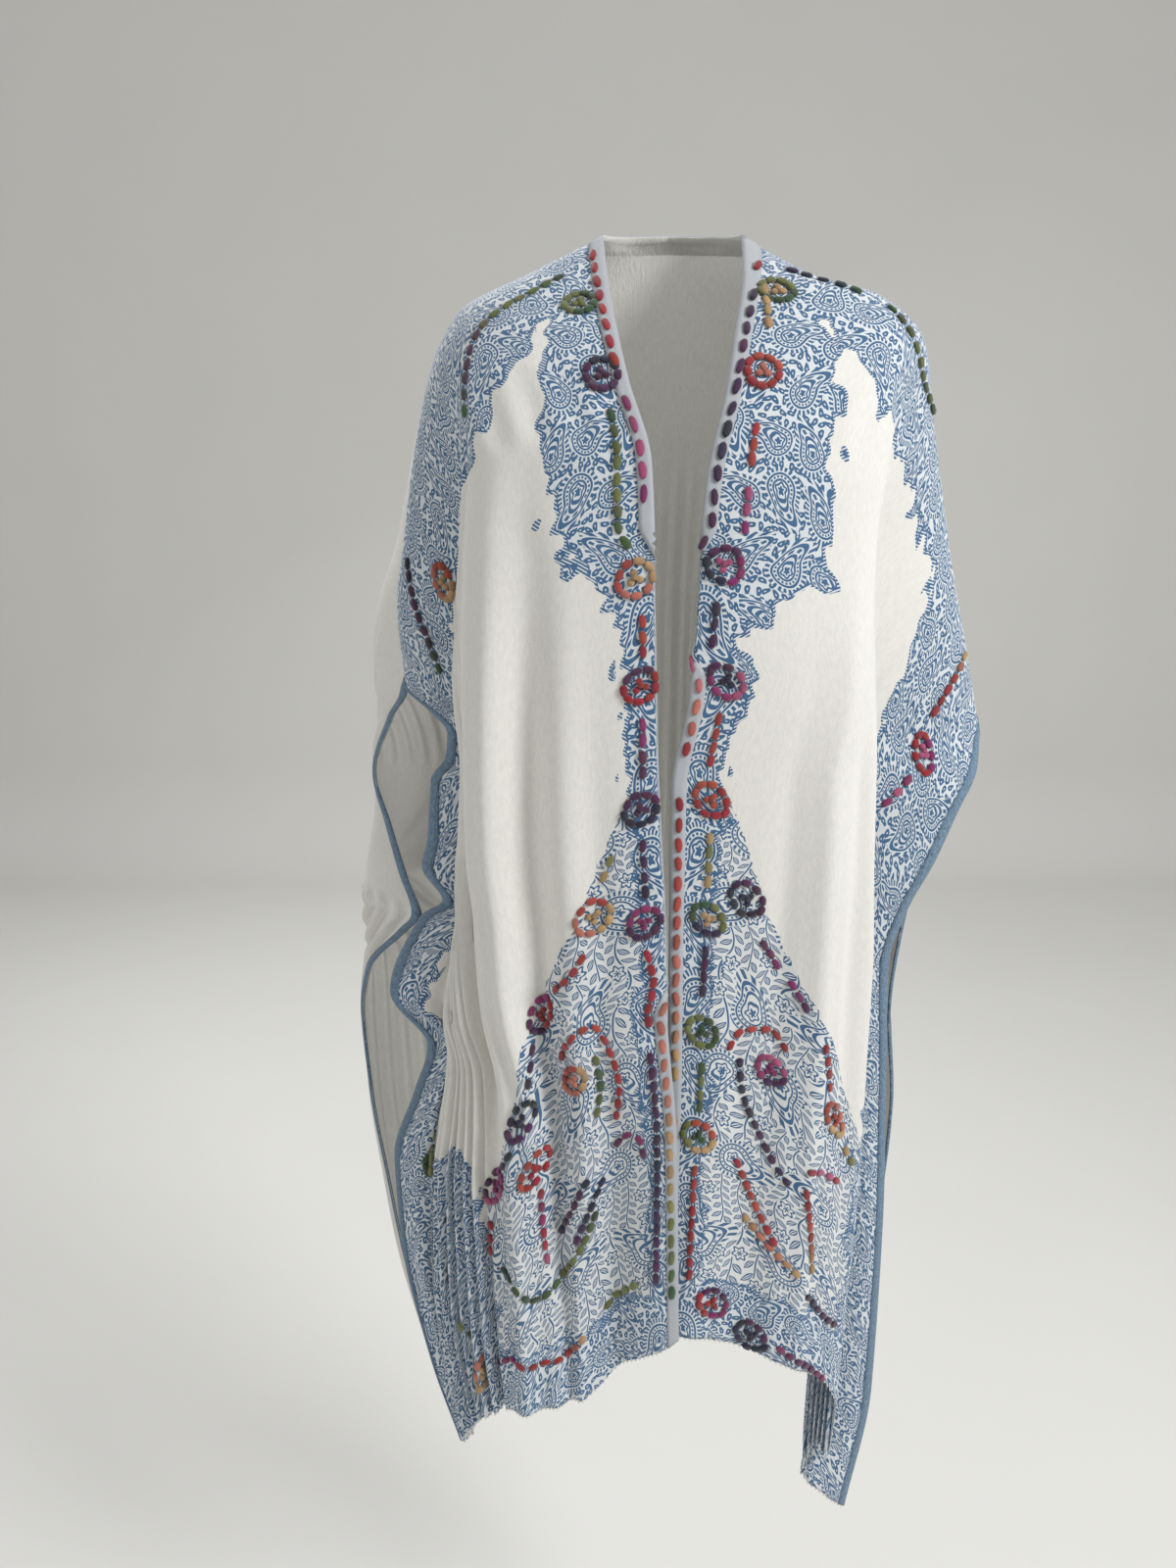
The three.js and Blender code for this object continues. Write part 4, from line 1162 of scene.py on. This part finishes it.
class Embroidery:
    """Stitches gathered into one piece."""

    def __init__(self, seed):
        self.lots = np.random.default_rng(seed)
        self.form, self.faces, self.uv = stitch_form()
        self.points, self.all_faces, self.colours, self.map = [], [], [], []

    def stitch(self, middle, normal, direction, length, width, height, colour, lift):
        normal = normal / np.linalg.norm(normal)
        forward = direction - normal * np.dot(direction, normal)
        forward = forward / max(np.linalg.norm(forward), 1e-9)
        side = np.cross(normal, forward)
        base = middle + normal * (lift + height * 0.3)
        frame = np.stack([forward * length, side * width, normal * height])
        start = sum(len(p) for p in self.points)
        self.points.append(base + self.form @ frame)
        self.all_faces += [tuple(i + start for i in face) for face in self.faces]
        jitter = 1 + self.lots.uniform(-0.22, 0.22)
        tone = np.clip(np.array(colour) * jitter + self.lots.uniform(-0.008, 0.012, 3), 0.003, 1)
        along = self.form[:, 0:1] + 0.5
        self.colours.append(tone * (0.85 + 0.3 * along))
        self.map.append(self.uv + self.lots.uniform(0, 40, 2))

    def finish(self, name, material):
        points, colours = np.concatenate(self.points), np.concatenate(self.colours)
        return add_mesh(name, points, self.all_faces, [material], np.concatenate(self.map), colours=colours)


def curve_through(places, steps=24):
    """A smooth line through places on the flat cloth."""
    p = np.array([places[0], *places, places[-1]], float)
    line = []
    for a, b, c, d in zip(p, p[1:], p[2:], p[3:]):
        for t in np.linspace(0, 1, steps, endpoint=False):
            line.append(0.5 * (2 * b + (c - a) * t + (2 * a - 5 * b + 4 * c - d) * t**2
                               + (3 * b - a - 3 * c + d) * t**3))
    line.append(p[-1])
    return np.array(line)


def dye(names, share):
    """The colour at a share of the way along a run of colours."""
    row = [np.array(THREADS[name]) for name in names.split()]
    at = min(share, 0.9999) * (len(row) - 1) if len(row) > 1 else 0
    i = int(at)
    return row[i] if len(row) == 1 else mix(row[i], row[i + 1], smooth(at - i))


def follow(distance, values, at):
    """The point of a line of values at a distance along it."""
    return np.array([np.interp(at, distance, values[:, i]) for i in range(3)])


def sew_run(work, panel, kind, places, colours, sizes, lift):
    """A run of stitches, one after another along a curve."""
    line = curve_through(places)
    points, normals = panel.place(line[:, 0], line[:, 1])
    distance = np.concatenate([[0], np.cumsum(np.linalg.norm(np.diff(points, axis=0), axis=1))])
    pitch, stitch_length = (value * sizes.stitch_scale for value in STITCHES[kind])
    count = max(1, round(distance[-1] / pitch))
    for k in range(count):
        centre = (k + 0.5) / count * distance[-1] + work.lots.uniform(-0.6, 0.6)
        ends = [follow(distance, points, centre + e) for e in (-2, 0, 2)]
        normal = follow(distance, normals, centre)
        length = stitch_length * work.lots.uniform(0.9, 1.08)
        width = sizes.stitch_width * work.lots.uniform(0.88, 1.12)
        tilt = np.cross(normal, ends[2] - ends[0]) * work.lots.uniform(-0.18, 0.18)
        work.stitch(ends[1], normal, ends[2] - ends[0] + tilt, length, width, width * 0.62,
                    dye(colours, (k + 0.5) / count), lift)


def sew_flower(work, panel, place, radius, petals, middle, sizes, lift):
    """A ring of stitches round a smaller woven ring and a knot."""
    colours = petals.split()
    rings = ((radius, 9, 8.8, colours), (radius * 0.3, 3, 5.2, [middle]))
    for around, count, length, names in rings:
        turn = work.lots.uniform(0, math.pi)
        for k in range(count):
            a = turn + 2 * math.pi * k / count
            reach = around * work.lots.uniform(0.94, 1.06)
            near = [a + e for e in (-0.1, 0, 0.1)]
            points, normals = panel.place(
                [place[0] + reach * math.cos(b) for b in near], [place[1] + reach * math.sin(b) for b in near]
            )
            width = sizes.stitch_width * work.lots.uniform(0.95, 1.12)
            colour = THREADS[names[k * len(names) // count]]
            work.stitch(points[1], normals[1], points[2] - points[0], length * sizes.stitch_scale, width,
                        width * 0.66, colour, lift)
    points, normals = panel.place([place[0], place[0]], [place[1] - 1, place[1] + 1])
    work.stitch(points[0], normals[0], points[1] - points[0], 4.6, sizes.stitch_width * 0.8,
                sizes.stitch_width * 0.8, THREADS[middle], lift + 0.8)


# User settings


def colour_setting(name, description, default):
    return bpy.props.FloatVectorProperty(
        name=name, description=description, subtype="COLOR", size=3, min=0, max=1, default=default
    )


class KaftanSizes(bpy.types.PropertyGroup):
    cloth: bpy.props.FloatProperty(
        name="Cloth", description="Thickness of the woven cloth, in millimetres",
        default=0.5, min=0.2, max=1.2,
    )
    band: bpy.props.FloatProperty(
        name="Band", description="Thickness of the twill band and the edging, in millimetres",
        default=0.8, min=0.3, max=1.5,
    )
    stitch_scale: bpy.props.FloatProperty(
        name="Stitch scale", description="Length and spacing of the stitches, against the usual ones",
        default=1, min=0.6, max=1.6,
    )
    stitch_width: bpy.props.FloatProperty(
        name="Stitch width", description="Width of one embroidery stitch, in millimetres",
        default=5.6, min=2, max=8,
    )
    tooth: bpy.props.FloatProperty(
        name="Hem teeth", description="Length of the small teeth along the hem, in millimetres",
        default=2.2, min=0.5, max=5,
    )


class KaftanColours(bpy.types.PropertyGroup):
    white: colour_setting("White", "Ground of the woven cloth", WHITE)
    blue: colour_setting("Blue", "Lighter tone of the woven pattern", WEAVE_BLUE)
    deep: colour_setting("Deep blue", "Darker tone of the woven pattern", WEAVE_DEEP)
    twill: colour_setting("Twill", "Band along the open front", (0.50, 0.53, 0.57))
    marl: colour_setting("Marl", "Edging along the sides", (0.25, 0.39, 0.55))


def sizes():
    return bpy.context.scene.kaftan_sizes


def colours():
    return bpy.context.scene.kaftan_colours


WORKROOM = {}  # panels and materials that the operators share


def panel(name):
    if name not in WORKROOM:
        WORKROOM[name] = sew_back() if name == "back" else sew_front(name)
    return WORKROOM[name]


def stuff(name):
    """A material, made once."""
    white, blue, deep = (tuple(getattr(colours(), c)) for c in ("white", "blue", "deep"))
    twill, marl = tuple(colours().twill), tuple(colours().marl)
    makers = {
        "right_side": lambda: patterned_cloth("woven_cloth_right_side", False, white, deep, blue),
        "wrong_side": lambda: patterned_cloth("woven_cloth_wrong_side", True, white, deep, blue),
        "plain": lambda: plain_cloth("plain_white_cloth", white),
        "twill": lambda: twill_band("twill_band", twill, tuple(c * 0.72 for c in twill)),
        "marl": lambda: marled_weave("marled_edging", marl, tuple(c * 0.18 for c in marl)),
        "thread": lambda: soft_thread("embroidery_thread"),
    }
    if f"material {name}" not in WORKROOM:
        WORKROOM[f"material {name}"] = makers[name]()
    return WORKROOM[f"material {name}"]


def border_distance(side, front):
    """How far each point lies inside the dense borders and the leafy ground, in millimetres."""
    along = np.broadcast_to(front.along[:, None], front.down.shape)
    down, up = front.down, front.down[:, -1:] - front.down

    def limit(places, at):
        places = np.array(places, float)
        return np.interp(at, places[:, 0], places[:, 1])

    neck = limit(NECK_BORDER[side], down) - along
    shoulder = limit(SHOULDER_BORDER[side], along) - down
    edge = along - limit(SIDE_BORDER[side], down)
    hem = HEM_BORDER - up
    dense = np.maximum.reduce([neck, shoulder, edge, hem])
    leafy = limit(LEAFY_BORDER[side], down) - along
    return {"dense": dense, "leafy": np.clip(leafy, -200, 200)}


def put_on(obj, slot, *nodes):
    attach(obj, "root")
    if nodes:
        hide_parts(*nodes)
    return obj


class KAFTAN_OT_fronts(bpy.types.Operator):
    """Sew the two front panels"""

    bl_idname = "kaftan.fronts"
    bl_label = "Front panels"

    def execute(self, context):
        half = sizes().cloth / 2
        for side in SIDES:
            front = panel(side)
            across, down = front.down.shape
            cloth = shell(
                f"front_panel_{side}", front, (0, across - 1), (0, down - 1), -half, half,
                [stuff("right_side"), stuff("wrong_side")], border_distance(side, front),
            )
            put_on(cloth, "woven_cloth", f"front_{side}")
            teeth = hem_teeth(f"hem_teeth_{side}", front, TOOTH_PITCH, sizes().tooth, half, stuff("plain"))
            put_on(teeth, "woven_cloth")
        return {"FINISHED"}


class KAFTAN_OT_back(bpy.types.Operator):
    """Sew the back panel"""

    bl_idname = "kaftan.back"
    bl_label = "Back panel"

    def execute(self, context):
        half = sizes().cloth / 2
        back = panel("back")
        across, down = back.down.shape
        cloth = shell("back_panel", back, (0, across - 1), (0, down - 1), -half, half, [stuff("plain")])
        put_on(cloth, "woven_cloth", "back")
        teeth = hem_teeth("hem_teeth_back", back, TOOTH_PITCH, sizes().tooth, half, stuff("plain"))
        put_on(teeth, "woven_cloth")
        return {"FINISHED"}


class KAFTAN_OT_neckbands(bpy.types.Operator):
    """Sew the twill band along the front edges and the neck"""

    bl_idname = "kaftan.neckbands"
    bl_label = "Twill band"

    def execute(self, context):
        low = sizes().cloth / 2 + 0.1
        high = low + sizes().band
        for side in SIDES:
            front = panel(side)
            last = int(np.argmin(np.abs(front.along - NECKBAND)))
            band = shell(f"twill_band_{side}", front, (0, last), (0, front.down.shape[1] - 1),
                         low, high, [stuff("twill")])
            put_on(band, "twill_band", f"neckband_{side}")
        back = panel("back")
        first, last = (int(np.argmin(np.abs(back.along - x))) for x in (-NECK_HALF, NECK_HALF))
        band = shell("twill_band_back", back, (first, last), (0, 3), low, high, [stuff("twill")])
        put_on(band, "twill_band", "neckband_back")
        return {"FINISHED"}


class KAFTAN_OT_edgings(bpy.types.Operator):
    """Sew the marled edging along the side edges"""

    bl_idname = "kaftan.edgings"
    bl_label = "Marled edging"

    def execute(self, context):
        low = sizes().cloth / 2 + 0.1
        high = low + sizes().band
        for side in SIDES:
            front, back = panel(side), panel("back")
            last = len(front.along) - 1
            start = int(np.argmin(np.abs(front.along - (FRONT_WIDTH - EDGING))))
            strip = shell(f"marled_edge_front_{side}", front, (start, last), (0, front.down.shape[1] - 1),
                          -high, high, [stuff("marl")])
            put_on(strip, "marled_edging", f"side_edging_front_{side}")
            ends = sorted(SIGN[side] * np.array([BACK_HALF - EDGING, BACK_HALF]))
            first, last = (int(np.argmin(np.abs(back.along - x))) for x in ends)
            strip = shell(f"marled_edge_back_{side}", back, (first, last), (0, back.down.shape[1] - 1),
                          -high, high, [stuff("marl")])
            put_on(strip, "marled_edging", f"side_edging_back_{side}")
        return {"FINISHED"}


class KAFTAN_OT_embroidery(bpy.types.Operator):
    """Stitch the running lines, loops and flowers"""

    bl_idname = "kaftan.embroidery"
    bl_label = "Embroidery"

    def execute(self, context):
        cloth = sizes().cloth / 2
        lifts = {"line": cloth, "motif": cloth, "neckband": cloth + 0.1 + sizes().band}
        for seed, side in enumerate(SIDES):
            front, work = panel(side), Embroidery(seed + 11)
            for kind, places, names in RUNS[side]:
                sew_run(work, front, kind, places, names, sizes(), lifts[kind])
            for place, radius, petals, middle in FLOWERS[side]:
                sew_flower(work, front, place, radius, petals, middle, sizes(), cloth)
            put_on(work.finish(f"embroidery_{side}", stuff("thread")), "embroidery_thread")
        return {"FINISHED"}


class KAFTAN_OT_tacks(bpy.types.Operator):
    """Sew the thread tacks that join front and back at the sides"""

    bl_idname = "kaftan.tacks"
    bl_label = "Side tacks"

    def execute(self, context):
        for seed, side in enumerate(SIDES):
            low, high = (np.array(corner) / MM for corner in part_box(f"side_tack_{side}"))
            work = Embroidery(seed + 31)
            middle, reach = (low + high) / 2, high - low
            direction = reach * np.where([True, True, False], 1, 0) * np.array([SIGN[side], 1, 0])
            for k in (-1, 0, 1):
                work.stitch(middle + np.array([0, 0, 1.2 * k]), np.array([SIGN[side], -0.2, 0.1]), direction,
                            np.linalg.norm(reach) + 3, 1.8, 1.8, THREADS["navy"], -0.5)
            tack = work.finish(f"thread_tack_{side}", stuff("thread"))
            put_on(tack, "embroidery_thread", f"side_tack_{side}")
        return {"FINISHED"}


class KAFTAN_OT_declare(bpy.types.Operator):
    """An empty step: it leaves the scene as it is"""

    bl_idname = "kaftan.declare"
    bl_label = "State the cut"

    def execute(self, context):
        return {"FINISHED"}


def stage_material(name, colour, roughness):
    s = Sketch(name, roughness, 0.0)
    place = s.node("ShaderNodeTexCoord")
    node = s.node("ShaderNodeTexNoise")
    node.inputs["Scale"].default_value = 3.0
    s.plug(node.inputs["Vector"], place.outputs["Object"])
    s.colour(s.colour_mix(Number(s, node.outputs[0]), tuple(c * 0.96 for c in colour), colour))
    return s.material


def area_light(name, place, target, size, energy):
    data = bpy.data.lights.new(name, "AREA")
    data.shape, data.size, data.energy = "DISK", size, energy
    light = bpy.data.objects.new(name, data)
    bpy.context.scene.collection.objects.link(light)
    light.location = place
    light.rotation_euler = (Vector(target) - Vector(place)).to_track_quat("-Z", "Y").to_euler()
    return light


class KAFTAN_OT_stage(bpy.types.Operator):
    """Set up the floor, the wall, the lights and the camera"""

    bl_idname = "kaftan.stage"
    bl_label = "Stage"

    def execute(self, context):
        floor_z, wall_y, reach, bend = -1.5, 3.4, 7.0, 0.35
        profile = [(-4.5, floor_z), (wall_y - bend, floor_z)]
        profile += [(wall_y - bend + bend * math.sin(a), floor_z + bend - bend * math.cos(a))
                    for a in np.linspace(0.15, math.pi / 2, 10)]
        profile += [(wall_y, 4.5)]
        points = [(x / MM, y / MM, z / MM) for y, z in profile for x in (-reach, reach)]
        faces = [(2 * i, 2 * i + 1, 2 * i + 3, 2 * i + 2) for i in range(len(profile) - 1)]
        backdrop = add_mesh("backdrop", points, faces, [stage_material("pale_wall", (0.72, 0.72, 0.70), 0.9)])
        area_light("key", (1.75, -1.35, 1.0), (0, 0, -0.45), 0.9, 58)
        area_light("fill", (-1.9, -1.2, 0.2), (0, 0, -0.5), 1.6, 7)
        area_light("top", (-0.9, 1.9, 1.3), (0, 0, -0.5), 1.6, 42)
        world = bpy.data.worlds.new("soft_room")
        world.use_nodes = True
        world.node_tree.nodes["Background"].inputs[0].default_value = (1.0, 0.985, 0.96, 1)
        world.node_tree.nodes["Background"].inputs[1].default_value = 0.47
        context.scene.world = world
        context.scene.view_settings.view_transform = "Standard"
        data = bpy.data.cameras.new("camera")
        data.lens, data.sensor_width = 28.1, 36
        camera = bpy.data.objects.new("camera", data)
        context.scene.collection.objects.link(camera)
        camera.location = (-0.062, -0.970, -0.178)
        camera.rotation_euler = (math.radians(90 - 13.55), 0, 0)
        context.scene.camera = camera
        return {"FINISHED"}


OPERATORS = (
    KAFTAN_OT_fronts,
    KAFTAN_OT_back,
    KAFTAN_OT_neckbands,
    KAFTAN_OT_edgings,
    KAFTAN_OT_embroidery,
    KAFTAN_OT_tacks,
    KAFTAN_OT_declare,
    KAFTAN_OT_stage,
)


class KAFTAN_PT_panel(bpy.types.Panel):
    """Sizes, colours and pieces of the kaftan"""

    bl_idname = "KAFTAN_PT_panel"
    bl_label = "Kaftan"
    bl_space_type = "VIEW_3D"
    bl_region_type = "UI"
    bl_category = "Kaftan"

    def draw(self, context):
        for group in (context.scene.kaftan_sizes, context.scene.kaftan_colours):
            box = self.layout.box()
            for name in group.__annotations__:
                box.prop(group, name)
        for operator in OPERATORS:
            self.layout.operator(operator.bl_idname)


CLASSES = (KaftanSizes, KaftanColours, *OPERATORS, KAFTAN_PT_panel)


def register():
    for cls in CLASSES:
        bpy.utils.register_class(cls)
    bpy.types.Scene.kaftan_sizes = bpy.props.PointerProperty(type=KaftanSizes)
    bpy.types.Scene.kaftan_colours = bpy.props.PointerProperty(type=KaftanColours)


def unregister():
    del bpy.types.Scene.kaftan_sizes
    del bpy.types.Scene.kaftan_colours
    for cls in reversed(CLASSES):
        bpy.utils.unregister_class(cls)


def main():
    register()
    for operator in OPERATORS:
        group, name = operator.bl_idname.split(".")
        getattr(getattr(bpy.ops, group), name)()


if __name__ == "__main__":
    main()
